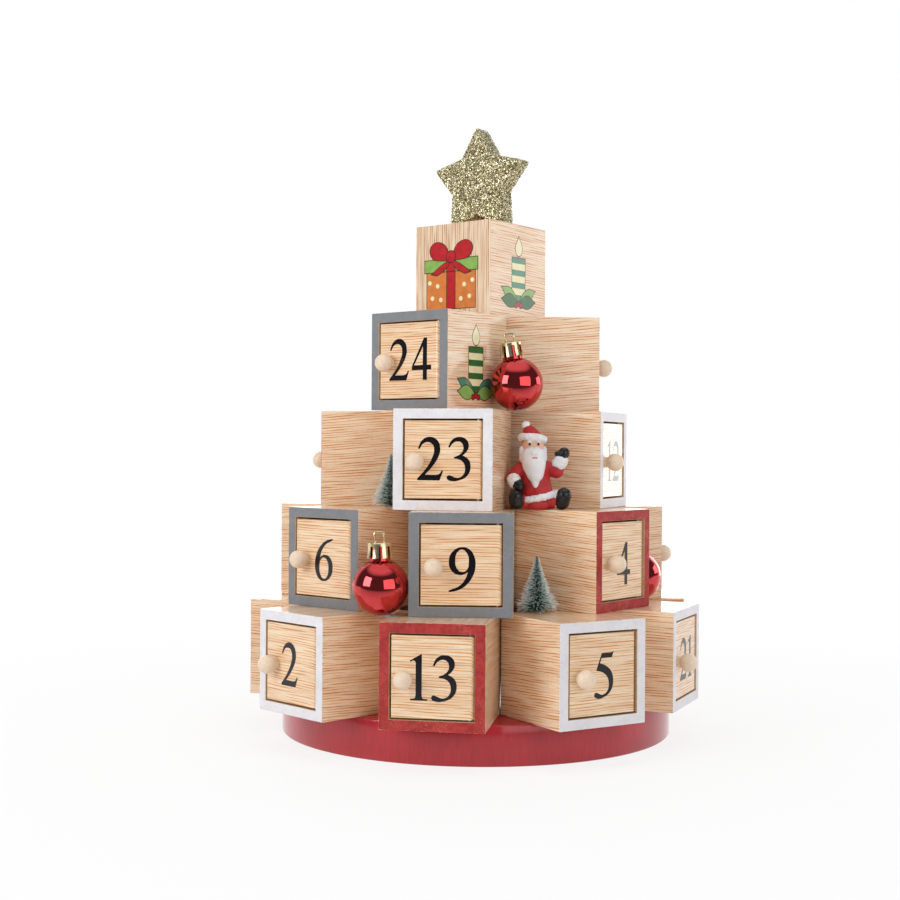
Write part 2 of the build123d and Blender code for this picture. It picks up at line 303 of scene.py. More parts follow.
# Depth and strength of each bump, and range of each roughness
PRINT_BUMP = (0.02, 0.4)
PAINT_BUMP = (0.05, 0.35)
WOOD_BUMP = (0.04, 0.4)
BASE_BUMP = (0.06, 0.5)
METAL_BUMP = (0.02, 0.3)
RESIN_BUMP = (0.05, 0.6)
FUR_BUMP = (0.1, 0.6)
INK_BUMP = (0.01, 0.6)
PRINT_ROUGHNESS = (0.38, 0.54)
PAINT_ROUGHNESS = (0.45, 0.68)
WOOD_ROUGHNESS = (0.38, 0.58)
BASE_ROUGHNESS = (0.34, 0.5)
FLAKE_ROUGHNESS = (0.22, 0.47)
BRISTLE_ROUGHNESS = (0.35, 0.65)
GLUE_ROUGHNESS = (0.12, 0.32)
RESIN_ROUGHNESS_SPREAD = 0.2
METAL_ROUGHNESS_SPREAD = 0.04

# Shine, and how strongly marks show
VARNISH = 0.8
VARNISH_ROUGHNESS = 0.09
BASE_COAT_ROUGHNESS = 0.11
PRINT_GLOSS = 0.3
PAINT_GLOSS = 0.4
BASE_GLOSS = 0.1
INK_GLOSS = 0.05
RESIN_GLOSS = 0.5
SPECK_SHARE = 0.6
PORE_SHARE = 0.7
KNOB_PORE_SHARE = 0.3
BRUSH_SHARE = 0.8
SMEAR_SHARE = 0.6
SCUFF_SHARE = 0.45
CHIP_REACH_SHARE = 0.035
CHIP_EDGE_SHARE = 1.0145
FROST_SHARE = 0.275

# Colours that change over a material, from low to high
GROUND_TONES = ((247, 229, 204), (236, 206, 172))
FINE_TONES = ((238, 203, 158), (225, 183, 140))
SPECK_TONE = (234, 226, 216)
PORE_TONE = (236, 228, 218)
BASE_TONES = ((178, 30, 42), (193, 38, 50))
BRUSH_TONES = ((214, 200, 202), PURE_WHITE)
GLUE_TONES = ((226, 214, 222), (246, 240, 244))
FLAKE_TONES = ((0.0, (78, 69, 44)), (0.35, (146, 135, 98)), (0.7, (190, 179, 136)), (1.0, (250, 245, 218)))
FROST_TONES = ((0.0, (22, 72, 74)), (0.42, (50, 114, 114)), (0.66, (146, 188, 188)), (0.88, (244, 248, 249)))

# Camera, from a fit to the corners of the boxes; its clipping is in metres
LENS = 57.6
SENSOR = 36.0
CAMERA_SPOT = (0.0, -862.0, 164.4)
CAMERA_PAN = 1.08
CAMERA_TILT = 90.02
CAMERA_ROLL = 0.39
CAMERA_CLIP = (0.01, 200.0)

# Studio: where the floor changes, in metres, and the backdrop and ceiling, by direction, and how
# bright they look
FLOOR_RADIUS = 30000.0
FLOOR_STEPS = 96
FLOOR_COLOUR = (244, 244, 244)
FLOOR_ROUGHNESS = 0.9
SHADOW_REACH = (0.16, 0.55)
SHADOW_GLOW = 0.82
AMBIENT = 0.33
DARK_ROOM = 0.13
BACKDROP_EDGE = (0.35, 0.65)
CEILING_EDGE = (0.70, 0.88)
FRONT_FLOOR = (-0.62, -0.14)
FRONT_FLOOR_GLOW = 0.13

# Softboxes: name, bearing to the viewer's right and height in degrees, distance, width, height, watts
SOFTBOXES = (
    ("key_left", -54.0, 17.0, 1300.0, 680.0, 720.0, 7.8),
    ("fill_right", 37.0, 9.0, 1350.0, 1150.0, 1000.0, 5.8),
    ("top", 0.0, 78.0, 1200.0, 900.0, 700.0, 4.2),
    ("side_right", 106.0, 11.0, 1400.0, 600.0, 440.0, 2.2),
    ("rim_right", 146.0, 8.0, 1400.0, 800.0, 1000.0, 5.2),
    ("rim_back", 180.0, 14.0, 1500.0, 1400.0, 700.0, 6.0),
    ("rim_left", -150.0, 8.0, 1400.0, 600.0, 1000.0, 6.0),
)
AIM = (0.0, 0.0, 170.0)
UNMIRRORED_LAMPS = ("top",)

# Digits as outlines in shares of their height: x, y, and 1 for a smooth point or 0 for a corner
DIGIT_SHARES = {
    "0": (
        (
            (0.33, 1.0, 1), (0.12, 0.86, 1), (0.03, 0.5, 1), (0.12, 0.14, 1), (0.33, 0.0, 1),
            (0.54, 0.14, 1), (0.63, 0.5, 1), (0.54, 0.86, 1),
        ),
        (
            (0.33, 0.955, 1), (0.215, 0.84, 1), (0.165, 0.5, 1), (0.215, 0.16, 1), (0.33, 0.045, 1),
            (0.445, 0.16, 1), (0.495, 0.5, 1), (0.445, 0.84, 1),
        ),
    ),
    "1": (
        (
            (0.02, 0.865, 0), (0.03, 0.845, 0), (0.10, 0.872, 1), (0.145, 0.835, 1), (0.15, 0.76, 0),
            (0.15, 0.12, 0), (0.13, 0.045, 1), (0.03, 0.025, 0), (0.03, 0.0, 0), (0.40, 0.0, 0),
            (0.40, 0.025, 0), (0.295, 0.045, 1), (0.275, 0.12, 0), (0.275, 1.0, 0), (0.255, 1.0, 0),
        ),
    ),
    "2": (
        (
            (0.02, 0.0, 0), (0.545, 0.0, 0), (0.625, 0.215, 0), (0.598, 0.222, 0), (0.555, 0.15, 1),
            (0.47, 0.118, 0), (0.185, 0.118, 0), (0.39, 0.345, 1), (0.52, 0.56, 1), (0.555, 0.74, 1),
            (0.48, 0.93, 1), (0.30, 1.0, 1), (0.13, 0.92, 1), (0.035, 0.735, 0), (0.065, 0.725, 0),
            (0.14, 0.84, 1), (0.255, 0.885, 1), (0.375, 0.835, 1), (0.42, 0.69, 1), (0.37, 0.51, 1),
            (0.245, 0.29, 1), (0.02, 0.03, 0),
        ),
    ),
    "3": (
        (
            (0.055, 0.775, 0), (0.14, 0.93, 1), (0.30, 1.0, 1), (0.47, 0.945, 1), (0.53, 0.81, 1),
            (0.485, 0.675, 1), (0.385, 0.575, 0), (0.52, 0.49, 1), (0.575, 0.33, 1), (0.50, 0.115, 1),
            (0.30, 0.005, 1), (0.11, -0.008, 1), (0.025, 0.045, 1), (0.05, 0.108, 1), (0.125, 0.098, 1),
            (0.225, 0.058, 1), (0.32, 0.062, 1), (0.42, 0.14, 1), (0.455, 0.275, 1), (0.41, 0.42, 1),
            (0.30, 0.492, 1), (0.19, 0.508, 0), (0.19, 0.532, 0), (0.32, 0.592, 1), (0.395, 0.675, 1),
            (0.412, 0.775, 1), (0.365, 0.875, 1), (0.26, 0.905, 1), (0.155, 0.86, 1), (0.082, 0.762, 0),
        ),
    ),
    "4": (
        (
            (0.39, 1.0, 0), (0.475, 1.0, 0), (0.475, 0.345, 0), (0.605, 0.345, 0), (0.605, 0.24, 0),
            (0.475, 0.24, 0), (0.475, 0.0, 0), (0.36, 0.0, 0), (0.36, 0.24, 0), (0.02, 0.24, 0),
            (0.02, 0.325, 0),
        ),
        ((0.36, 0.345, 0), (0.075, 0.345, 0), (0.36, 0.815, 0)),
    ),
    "5": (
        (
            (0.545, 1.01, 0), (0.495, 0.885, 0), (0.215, 0.885, 0), (0.165, 0.765, 0), (0.34, 0.695, 1),
            (0.485, 0.56, 1), (0.535, 0.36, 1), (0.47, 0.135, 1), (0.285, 0.01, 1), (0.105, -0.008, 1),
            (0.025, 0.045, 1), (0.05, 0.108, 1), (0.12, 0.098, 1), (0.215, 0.058, 1), (0.315, 0.078, 1),
            (0.405, 0.175, 1), (0.425, 0.315, 1), (0.365, 0.475, 1), (0.235, 0.57, 1), (0.075, 0.61, 0),
            (0.225, 0.985, 0), (0.50, 0.985, 0),
        ),
    ),
    "7": (
        (
            (0.03, 0.79, 0), (0.09, 0.985, 0), (0.59, 0.985, 0), (0.59, 0.955, 0), (0.30, -0.008, 0),
            (0.215, -0.008, 0), (0.475, 0.868, 0), (0.185, 0.868, 1), (0.105, 0.845, 1), (0.055, 0.78, 0),
        ),
    ),
    "8": (
        (
            (0.305, 1.0, 1), (0.125, 0.925, 1), (0.06, 0.775, 1), (0.115, 0.63, 1), (0.215, 0.535, 1),
            (0.095, 0.43, 1), (0.035, 0.255, 1), (0.105, 0.075, 1), (0.305, -0.005, 1), (0.505, 0.075, 1),
            (0.575, 0.24, 1), (0.52, 0.39, 1), (0.385, 0.54, 1), (0.50, 0.645, 1), (0.545, 0.785, 1),
            (0.485, 0.93, 1),
        ),
        (
            (0.305, 0.955, 1), (0.21, 0.905, 1), (0.175, 0.80, 1), (0.235, 0.69, 1), (0.345, 0.59, 1),
            (0.42, 0.675, 1), (0.44, 0.785, 1), (0.40, 0.905, 1),
        ),
        (
            (0.26, 0.495, 1), (0.18, 0.385, 1), (0.155, 0.24, 1), (0.21, 0.09, 1), (0.315, 0.04, 1),
            (0.42, 0.085, 1), (0.455, 0.19, 1), (0.40, 0.33, 1),
        ),
    ),
    "9": (
        (
            (0.03, -0.005, 0), (0.20, 0.03, 1), (0.38, 0.145, 1), (0.52, 0.345, 1), (0.58, 0.60, 1),
            (0.545, 0.82, 1), (0.455, 0.95, 1), (0.305, 1.0, 1), (0.115, 0.91, 1), (0.03, 0.68, 1),
            (0.095, 0.465, 1), (0.255, 0.38, 1), (0.365, 0.408, 1), (0.432, 0.455, 0), (0.385, 0.305, 1),
            (0.27, 0.145, 1), (0.03, 0.02, 0),
        ),
        (
            (0.30, 0.955, 1), (0.195, 0.885, 1), (0.155, 0.715, 1), (0.195, 0.515, 1), (0.295, 0.438, 1),
            (0.405, 0.49, 1), (0.447, 0.64, 1), (0.41, 0.865, 1),
        ),
    ),
}
SIX_CENTRE_SHARES = (0.305, 0.4975)
DIGIT_STRETCH_SHARES = {"6": 1.08, "9": 1.08}

# Place of a number's middle, in shares of BOX_WIDTH right of and below the middle of its door
NUMBER_SHARES = {
    2: (-0.020, 0.004), 4: (0.013, 0.033), 5: (0.013, 0.009), 6: (0.013, 0.016), 9: (0.013, 0.042),
    13: (0.013, 0.004), 23: (0.013, -0.009), 24: (0.013, -0.011),
}
USUAL_NUMBER_SHARES = (0.013, 0.009)

# Decorations beside a box: its day, its left (-1) or right (1) side, and the share of BOX_DEPTH
# from its front. A bauble also has its lean to the viewer's left, in degrees.
BAUBLE_SHARES = ((9, -1, 0.11, 2.0), (24, 1, 0.80, 9.0), (4, 1, 0.34, 0.0))
TREE_SHARES = ((9, 1, 0.57), (23, -1, 0.80))
FIGURE_PLACE_SHARES = (23, 1, 0.75, 0.33)

# Figure in shares of FIGURE_HEIGHT from the middle of its seat: x to the viewer's right, y to its
# back, z up. Each limb has two centres and two radii.
FIGURE_SHARES = {
    "coat": (
        ((0.02, 0.0, 0.14), (-0.01, 0.03, 0.46), 0.190, 0.148),
        ((-0.15, 0.03, 0.47), (-0.265, -0.02, 0.345), 0.079, 0.074),
        ((-0.262, -0.02, 0.345), (-0.245, -0.06, 0.315), 0.074, 0.070),
        ((0.13, 0.03, 0.47), (0.235, -0.015, 0.425), 0.079, 0.078),
        ((0.237, -0.018, 0.425), (0.262, -0.035, 0.50), 0.078, 0.068),
    ),
    "trousers": (
        ((-0.06, -0.03, 0.085), (-0.15, -0.09, 0.09), 0.085, 0.080),
        ((0.09, -0.03, 0.085), (0.19, -0.09, 0.09), 0.085, 0.080),
        ((-0.03, -0.11, 0.065), (0.08, -0.11, 0.065), 0.075, 0.075),
    ),
    "boot_left": (((-0.22, -0.12, 0.085), (-0.235, -0.15, 0.145), 0.088, 0.082),),
    "boot_right": (((0.285, -0.12, 0.085), (0.305, -0.15, 0.165), 0.088, 0.085),),
    "mitten_left": (
        ((-0.225, -0.115, 0.285), (-0.195, -0.135, 0.255), 0.060, 0.055),
        ((-0.185, -0.13, 0.315), (-0.172, -0.14, 0.30), 0.030, 0.026),
    ),
    "mitten_right": (
        ((0.295, -0.055, 0.585), (0.315, -0.06, 0.635), 0.058, 0.066),
        ((0.262, -0.065, 0.605), (0.235, -0.068, 0.625), 0.032, 0.032),
    ),
    "cuff_left": (((-0.252, -0.055, 0.33), (-0.237, -0.09, 0.30), 0.077, 0.075),),
    "cuff_right": (((0.265, -0.042, 0.515), (0.285, -0.052, 0.545), 0.082, 0.080),),
    "trouser_trim": (((0.225, -0.10, 0.07), (0.232, -0.105, 0.17), 0.058, 0.050),),
    "head": (
        ((-0.03, 0.01, 0.70), (-0.03, 0.005, 0.74), 0.130, 0.120),
        ((-0.03, -0.125, 0.672), (-0.03, -0.135, 0.668), 0.028, 0.030),
    ),
    "beard": (
        ((-0.03, -0.072, 0.575), (-0.012, -0.142, 0.258), 0.140, 0.030),
        ((-0.028, -0.088, 0.52), (-0.018, -0.128, 0.40), 0.136, 0.096),
        ((-0.145, -0.005, 0.675), (-0.125, -0.03, 0.57), 0.042, 0.062),
        ((0.085, -0.005, 0.675), (0.068, -0.03, 0.57), 0.042, 0.062),
    ),
    "moustache": (
        ((-0.045, -0.178, 0.628), (-0.120, -0.145, 0.605), 0.036, 0.022),
        ((-0.015, -0.178, 0.628), (0.060, -0.145, 0.605), 0.036, 0.022),
    ),
    "brow": (
        ((-0.095, -0.108, 0.757), (-0.065, -0.118, 0.766), 0.012, 0.012),
        ((0.005, -0.118, 0.766), (0.035, -0.108, 0.757), 0.012, 0.012),
    ),
    "eyes": (
        ((-0.079, -0.117, 0.732), (-0.079, -0.117, 0.728), 0.013, 0.013),
        ((0.019, -0.117, 0.732), (0.019, -0.117, 0.728), 0.013, 0.013),
    ),
    "lip": (((-0.050, -0.203, 0.577), (-0.010, -0.203, 0.577), 0.011, 0.011),),
    "hat": (
        ((-0.04, 0.02, 0.79), (-0.072, 0.015, 0.88), 0.118, 0.070),
        ((-0.072, 0.015, 0.88), (-0.098, 0.012, 0.935), 0.070, 0.036),
    ),
    "pom": (((-0.11, 0.01, 0.948), (-0.11, 0.01, 0.950), 0.047, 0.047),),
    "dots": (
        ((0.262, -0.148, 0.155), (0.262, -0.148, 0.157), 0.011, 0.011),
        ((0.262, -0.152, 0.085), (0.262, -0.152, 0.087), 0.011, 0.011),
    ),
}
FIGURE_RING_SHARES = {
    "brim": ((-0.035, 0.012, 0.795), (0.128, 0.124), 0.041, (-8.0, 6.0)),
    "hem": ((0.02, -0.012, 0.150), (0.192, 0.180), 0.038, (6.0, -11.0)),
}
FIGURE_FINISHES = {
    "coat": "RED", "trousers": "RED", "hat": "RED", "boot_left": "BLACK", "boot_right": "BLACK",
    "mitten_left": "BLACK", "mitten_right": "BLACK", "eyes": "BLACK", "dots": "BLACK",
    "head": "SKIN", "lip": "LIP",
}


def colour(*display):
    """Linear colour of a display colour."""
    linear = Color([value / DISPLAY_WHITE for value in display]).from_srgb_to_scene_linear()
    return (*linear, 1.0)


class Shader:
    """Material or world whose nodes are added one call at a time."""

    def __init__(self, name, store=bpy.data.materials):
        self.made = store.new(name)
        self.made.use_nodes = True
        self.tree = self.made.node_tree

    def put(self, socket, value):
        """Link a socket to another node's output, or set its value."""
        if isinstance(value, bpy.types.NodeSocket):
            self.tree.links.new(value, socket)
        else:
            socket.default_value = value

    def node(self, kind, inputs=(), **settings):
        made = self.tree.nodes.new(f"ShaderNode{kind}")
        for key, value in settings.items():
            setattr(made, key, value)
        for key, value in dict(inputs).items():
            self.put(made.inputs[key], value)
        return made

    def add(self, kind, inputs=(), **settings):
        """Outputs of a new node."""
        return self.node(kind, inputs, **settings).outputs

    def surface(self, **values):
        """The material, with these inputs of its surface set."""
        sockets = self.tree.nodes["Principled BSDF"].inputs
        for key, value in values.items():
            self.put(sockets[key.replace("_", " ")], value)
        return self.made

    def math(self, operation, *values, clamped=False):
        return self.add("Math", enumerate(values), operation=operation, use_clamp=clamped)[0]

    def fit(self, value, low, high, span=(0.0, 1.0)):
        """Value from low to high as the input goes over a span."""
        start, end = span
        ends = {"Value": value, "From Min": start, "From Max": end, "To Min": low, "To Max": high}
        return self.add("MapRange", ends)[0]

    def vector(self, operation, first, second):
        return self.add("VectorMath", {0: first, 1: second}, operation=operation)[0]

    def split(self, place):
        return self.add("SeparateXYZ", {0: place})

    def own(self):
        """Coordinates of the piece's own frame, in millimetres."""
        return self.add("Attribute", attribute_name=OWN)["Vector"]

    def packed(self):
        """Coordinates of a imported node, in millimetres."""
        return self.vector("DIVIDE", self.add("TexCoord")["Object"], (MM, MM, MM))

    def chance(self):
        """Number that differs from piece to piece."""
        return self.add("ObjectInfo")["Random"]

    def shifted(self):
        """The piece's own coordinates, moved by an amount that differs from piece to piece."""
        chance = self.chance()
        shift = self.add("CombineXYZ", {0: chance, 1: chance, 2: chance})[0]
        return self.vector("ADD", self.own(), self.vector("MULTIPLY", shift, SHIFT_REACH))

    def noise(self, place, size, octaves=2.0, roughness=0.5):
        """Noise whose features are about size millimetres, in all or along each axis."""
        sizes = size if isinstance(size, tuple) else (size, size, size)
        scaled = self.vector("DIVIDE", place, sizes)
        inputs = {"Vector": scaled, "Scale": 1.0, "Detail": octaves, "Roughness": roughness}
        return self.add("TexNoise", inputs)[0]

    def strokes(self, across, along, pitch, length):
        """Thin tapered strokes, one row of them for each pitch across."""
        rows = self.math("DIVIDE", across, pitch)
        row = self.math("FLOOR", rows)
        inside = self.math("SUBTRACT", rows, row)
        luck = self.add("TexWhiteNoise", {"W": row}, noise_dimensions="1D")["Value"]
        drift = self.math("FRACT", self.math("MULTIPLY", luck, STROKE_SHUFFLE))
        middle = self.fit(drift, *STROKE_MIDDLE_SHARES)
        travel = self.math("MULTIPLY_ADD", luck, STROKE_SPREAD, self.math("DIVIDE", along, length))
        line = {"W": travel, "Scale": 1.0, "Detail": FEW_OCTAVES}
        swell = self.add("TexNoise", line, noise_dimensions="1D")[0]
        half = self.fit(swell, 0.0, STROKE_HALF_SHARE, STROKE_SWELL_SHARES)
        away = self.math("ABSOLUTE", self.math("SUBTRACT", inside, middle))
        return self.math("DIVIDE", self.math("SUBTRACT", half, away), STROKE_SOFT_SHARE, clamped=True)

    def ramp(self, factor, *stops):
        made = self.node("ValToRGB", {"Fac": factor})
        elements = made.color_ramp.elements
        while len(elements) < len(stops):
            elements.new(1.0)
        for element, (position, shade) in zip(elements, stops):
            element.position = position
            element.color = colour(*shade)
        return made.outputs[0]

    def tones(self, factor, low, high, span=USUAL_SPAN):
        """Colour from low to high over a span of the factor."""
        return self.ramp(factor, *zip(span, (low, high)))

    def mix(self, factor, first, second, blend="MIX"):
        made = self.node("Mix", data_type="RGBA", blend_type=blend)
        colours = [socket for socket in made.inputs if socket.type == "RGBA"]
        for socket, value in zip((made.inputs[0], *colours), (factor, first, second)):
            self.put(socket, value)
        return [socket for socket in made.outputs if socket.type == "RGBA"][0]

    def bump(self, height, depth, strength):
        """Normal of a surface raised by height times depth millimetres."""
        return self.add("Bump", {"Height": height, "Distance": depth * MM, "Strength": strength})[0]


def along_axis(size, axis):
    """Sizes along the three axes: size[1] along the given one and size[0] across."""
    return tuple(size[1] if index == axis else size[0] for index in range(3))


def printed_wood(name, axis, tint, strong, deep, slant_share=LEVEL_SLANT_SHARE):
    """Pale paper printed with wavy orange-brown strokes about along an axis, under a satin varnish."""
    shade = Shader(name)
    place = shade.shifted()
    parts = shade.split(place)
    first, second = (parts[index] for index in range(3) if index != axis)
    sizes = [along_axis(size, axis) for size in (SWAY_SIZE, TONE_SIZE, SPECK_SIZE)]
    sway, tone, speck = (shade.noise(place, size, FEW_OCTAVES) for size in sizes)
    slant = shade.fit(shade.chance(), -slant_share, slant_share)
    level = shade.math("MULTIPLY_ADD", parts[axis], slant, shade.math("ADD", first, second))
    across = shade.math("MULTIPLY_ADD", sway, SWAY_REACH, level)
    bold, fine = (shade.strokes(across, parts[axis], *stroke) for stroke in (BOLD_STROKE, FINE_STROKE))
    ground = shade.tones(tone, *GROUND_TONES, TONE_SPAN)
    fine_line = shade.tones(tone, *FINE_TONES, TONE_SPAN)
    bold_line = shade.tones(tone, strong, deep, BOLD_SPAN)
    printed = shade.mix(bold, shade.mix(fine, ground, fine_line), bold_line)
    dots = shade.tones(speck, SPECK_TONE, tint, SPECK_SPAN)
    return shade.surface(
        Base_Color=shade.mix(SPECK_SHARE, printed, dots, "MULTIPLY"),
        Roughness=shade.fit(speck, *PRINT_ROUGHNESS),
        Normal=shade.bump(bold, *PRINT_BUMP),
        Specular_IOR_Level=PRINT_GLOSS,
        Coat_Weight=VARNISH,
        Coat_Roughness=VARNISH_ROUGHNESS,
    )


def frame_paint(name, body, light, chip):
    """Brushed paint with scuffed patches and small chips along the edges of a box's front."""
    shade = Shader(name)
    place = shade.shifted()
    mottle = shade.noise(place, PAINT_MOTTLE, MORE_OCTAVES)
    grain = shade.noise(place, PAINT_GRAIN)
    smear = shade.noise(place, SMEAR_SIZE, *SMEAR_OCTAVES)
    both = shade.math("MULTIPLY_ADD", smear, SMEAR_SHARE, shade.math("MULTIPLY", mottle, 1 - SMEAR_SHARE))
    patch = shade.fit(shade.noise(place, PATCH_SIZE, FEW_OCTAVES), 0.0, 1.0, PATCH_SPAN)
    rub = shade.fit(shade.noise(place, RUB_SIZE, *RUB_OCTAVES), 0.0, SCUFF_SHARE, RUB_SPAN)
    parts = shade.split(shade.own())
    across = shade.math("DIVIDE", shade.math("ABSOLUTE", parts[0]), BOX_WIDTH / 2)
    rise = shade.math("SUBTRACT", parts[2], BOX_HEIGHT / 2)
    upward = shade.math("DIVIDE", shade.math("ABSOLUTE", rise), BOX_HEIGHT / 2)
    worn = shade.noise(place, CHIP_SIZE, MORE_OCTAVES)
    edge = shade.math("MULTIPLY_ADD", worn, CHIP_REACH_SHARE, shade.math("MAXIMUM", across, upward))
    bare = shade.math("GREATER_THAN", edge, CHIP_EDGE_SHARE)
    marks = shade.math("MAXIMUM", bare, shade.math("MULTIPLY", patch, rub))
    return shade.surface(
        Base_Color=shade.mix(marks, shade.tones(both, body, light, PAINT_SPAN), colour(*chip)),
        Roughness=shade.fit(grain, *PAINT_ROUGHNESS),
        Normal=shade.bump(grain, *PAINT_BUMP),
        Specular_IOR_Level=PAINT_GLOSS,
    )


def bare_wood(name, axis, light, dark, size=FIBRE_SIZE, pore_share=PORE_SHARE):
    """Plain sanded wood with a fine fibre along an axis."""
    shade = Shader(name)
    place = shade.shifted()
    fibre = shade.noise(place, along_axis(size, axis), *FIBRE_OCTAVES)
    pore = shade.noise(place, along_axis(PORE_SIZE, axis))
    pores = shade.tones(pore, PORE_TONE, PURE_WHITE, PORE_SPAN)
    return shade.surface(
        Base_Color=shade.mix(pore_share, shade.tones(fibre, dark, light), pores, "MULTIPLY"),
        Roughness=shade.fit(fibre, *WOOD_ROUGHNESS),
        Normal=shade.bump(fibre, *WOOD_BUMP),
    )


def base_paint():
    """Red satin paint with fine upright brush marks."""
    shade = Shader("base_red")
    place = shade.own()
    brush = shade.noise(place, BRUSH_SIZE, *BRUSH_OCTAVES)
    grain = shade.noise(place, PAINT_GRAIN)
    body = shade.tones(shade.noise(place, BASE_MOTTLE), *BASE_TONES)
    return shade.surface(
        Base_Color=shade.mix(BRUSH_SHARE, body, shade.tones(brush, *BRUSH_TONES), "MULTIPLY"),
        Roughness=shade.fit(brush, *BASE_ROUGHNESS),
        Normal=shade.bump(shade.math("ADD", brush, grain), *BASE_BUMP),
        Specular_IOR_Level=BASE_GLOSS,
        Coat_Weight=1.0,
        Coat_Roughness=BASE_COAT_ROUGHNESS,
    )


def gloss_metal(name, light, dark, roughness, packed=False):
    """Mirror-bright metal with a slight unevenness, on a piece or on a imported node."""
    shade = Shader(name)
    place = shade.packed() if packed else shade.shifted()
    sway = shade.noise(place, METAL_WAVE)
    haze = shade.noise(place, METAL_HAZE)
    return shade.surface(
        Base_Color=shade.tones(sway, dark, light),
        Metallic=1.0,
        Roughness=shade.fit(haze, roughness, roughness + METAL_ROUGHNESS_SPREAD),
        Normal=shade.bump(sway, *METAL_BUMP),
    )


def glitter(metallic=0.85):
    """Champagne-gold flakes, each with its own shade."""
    shade = Shader("star_glitter")
    cells = shade.add("TexVoronoi", {"Vector": shade.own(), "Scale": 1.0 / FLAKE})
    pick = shade.add("SeparateColor", {0: cells["Color"]})
    return shade.surface(
        Base_Color=shade.ramp(pick[0], *FLAKE_TONES),
        Metallic=metallic,
        Roughness=shade.fit(pick[1], *FLAKE_ROUGHNESS),
    )


def bristle():
    """Green strands with frosted white tips, by the share of their length."""
    shade = Shader("tree_bristle")
    share = shade.add("Attribute", attribute_name=TIP)["Fac"]
    patch = shade.noise(shade.own(), FROST_SIZE)
    reach = shade.math("ADD", share, shade.fit(patch, -FROST_SHARE, FROST_SHARE))
    return shade.surface(
        Base_Color=shade.ramp(reach, *FROST_TONES),
        Roughness=shade.fit(patch, *BRISTLE_ROUGHNESS),
    )


def resin_paint(name, body, light, roughness, size=RESIN_SKIN, bump=RESIN_BUMP, coat=0.0, gloss=RESIN_GLOSS):
    """Hand paint or print, a little uneven in colour and surface, bare or under a coat of varnish."""
    shade = Shader(name)
    place = shade.own()
    mottle = shade.noise(place, RESIN_MOTTLE, MORE_OCTAVES)
    skin = shade.noise(place, size, MORE_OCTAVES)
    return shade.surface(
        Base_Color=shade.tones(mottle, body, light, RESIN_SPAN),
        Roughness=shade.fit(skin, roughness, roughness + RESIN_ROUGHNESS_SPREAD),
        Normal=shade.bump(skin, *bump),
        Specular_IOR_Level=gloss,
        Coat_Weight=coat,
        Coat_Roughness=VARNISH_ROUGHNESS,
    )


def print_ink(name, body, light, roughness=0.5):
    """Flat printed colour under the varnish."""
    return resin_paint(name, body, light, roughness, INK_SKIN, INK_BUMP, VARNISH, INK_GLOSS)


def clear_glue(clearness=0.7, ior=1.45):
    shade = Shader("clear_glue")
    cloud = shade.noise(shade.own(), GLUE_CLOUD)
    return shade.surface(
        Base_Color=shade.tones(cloud, *GLUE_TONES),
        Roughness=shade.fit(cloud, *GLUE_ROUGHNESS),
        Transmission_Weight=clearness,
        IOR=ior,
    )


X, Y, Z = range(3)
PRINT_X = printed_wood("print_across", X, (252, 243, 232), (226, 154, 72), (204, 128, 56))
PRINT_Y = printed_wood("print_deep", Y, (255, 252, 252), (224, 148, 70), (202, 122, 56), DEEP_SLANT_SHARE)
PRINT_Z = printed_wood("print_upright", Z, (236, 238, 240), (204, 130, 72), (172, 106, 62))
WHITE_PAINT = frame_paint("paint_white", (222, 220, 224), (232, 230, 233), (196, 176, 160))
GREY_PAINT = frame_paint("paint_grey", (120, 123, 127), (129, 131, 135), (172, 164, 156))
RED_PAINT = frame_paint("paint_red", (146, 32, 32), (186, 56, 50), (216, 160, 146))
INSIDE_WOOD = bare_wood("inside_wood", Y, (222, 194, 158), (196, 160, 120))
EDGE_WOOD = bare_wood("edge_wood", Z, (228, 202, 164), (208, 176, 134))
KNOB_WOOD = bare_wood("knob_wood", Y, (239, 219, 196), (226, 201, 173), KNOB_FIBRE_SIZE, KNOB_PORE_SHARE)
PEG_WOOD = bare_wood("peg_wood", Z, (150, 104, 62), (112, 70, 38))
BASE_RED = base_paint()
BALL_RED = gloss_metal("ball_red", (206, 74, 76), (198, 66, 70), roughness=0.03)
CAP_GOLD = gloss_metal("cap_gold", (238, 224, 184), (226, 208, 162), roughness=0.2)
PIN_STEEL = gloss_metal("pin_steel", (190, 190, 192), (172, 172, 176), roughness=0.25, packed=True)
GLITTER = glitter()
BRISTLE = bristle()
GLUE = clear_glue()
MOUND_GLUE = resin_paint("mound_glue", (120, 112, 96), (160, 152, 138), roughness=0.3)
INK_BLACK = print_ink("number_ink", (13, 8, 14), (20, 15, 22))
LINE_INK = print_ink("motif_line", (48, 34, 34), (60, 44, 42))
GIFT_TAN = print_ink("motif_tan", (206, 122, 62), (218, 138, 76))
GIFT_RED = print_ink("motif_red", (176, 34, 42), (190, 46, 50))
GIFT_GREEN = print_ink("motif_green", (130, 172, 84), (146, 186, 98))
LEAF_LIGHT = print_ink("motif_leaf_light", (132, 178, 92), (146, 190, 106))
LEAF_DEEP = print_ink("motif_leaf_deep", (78, 138, 112), (90, 148, 122))
LEAF_DARK = print_ink("motif_leaf_dark", (46, 104, 52), (58, 116, 60))
CREAM = print_ink("motif_cream", (240, 230, 178), (246, 238, 196))
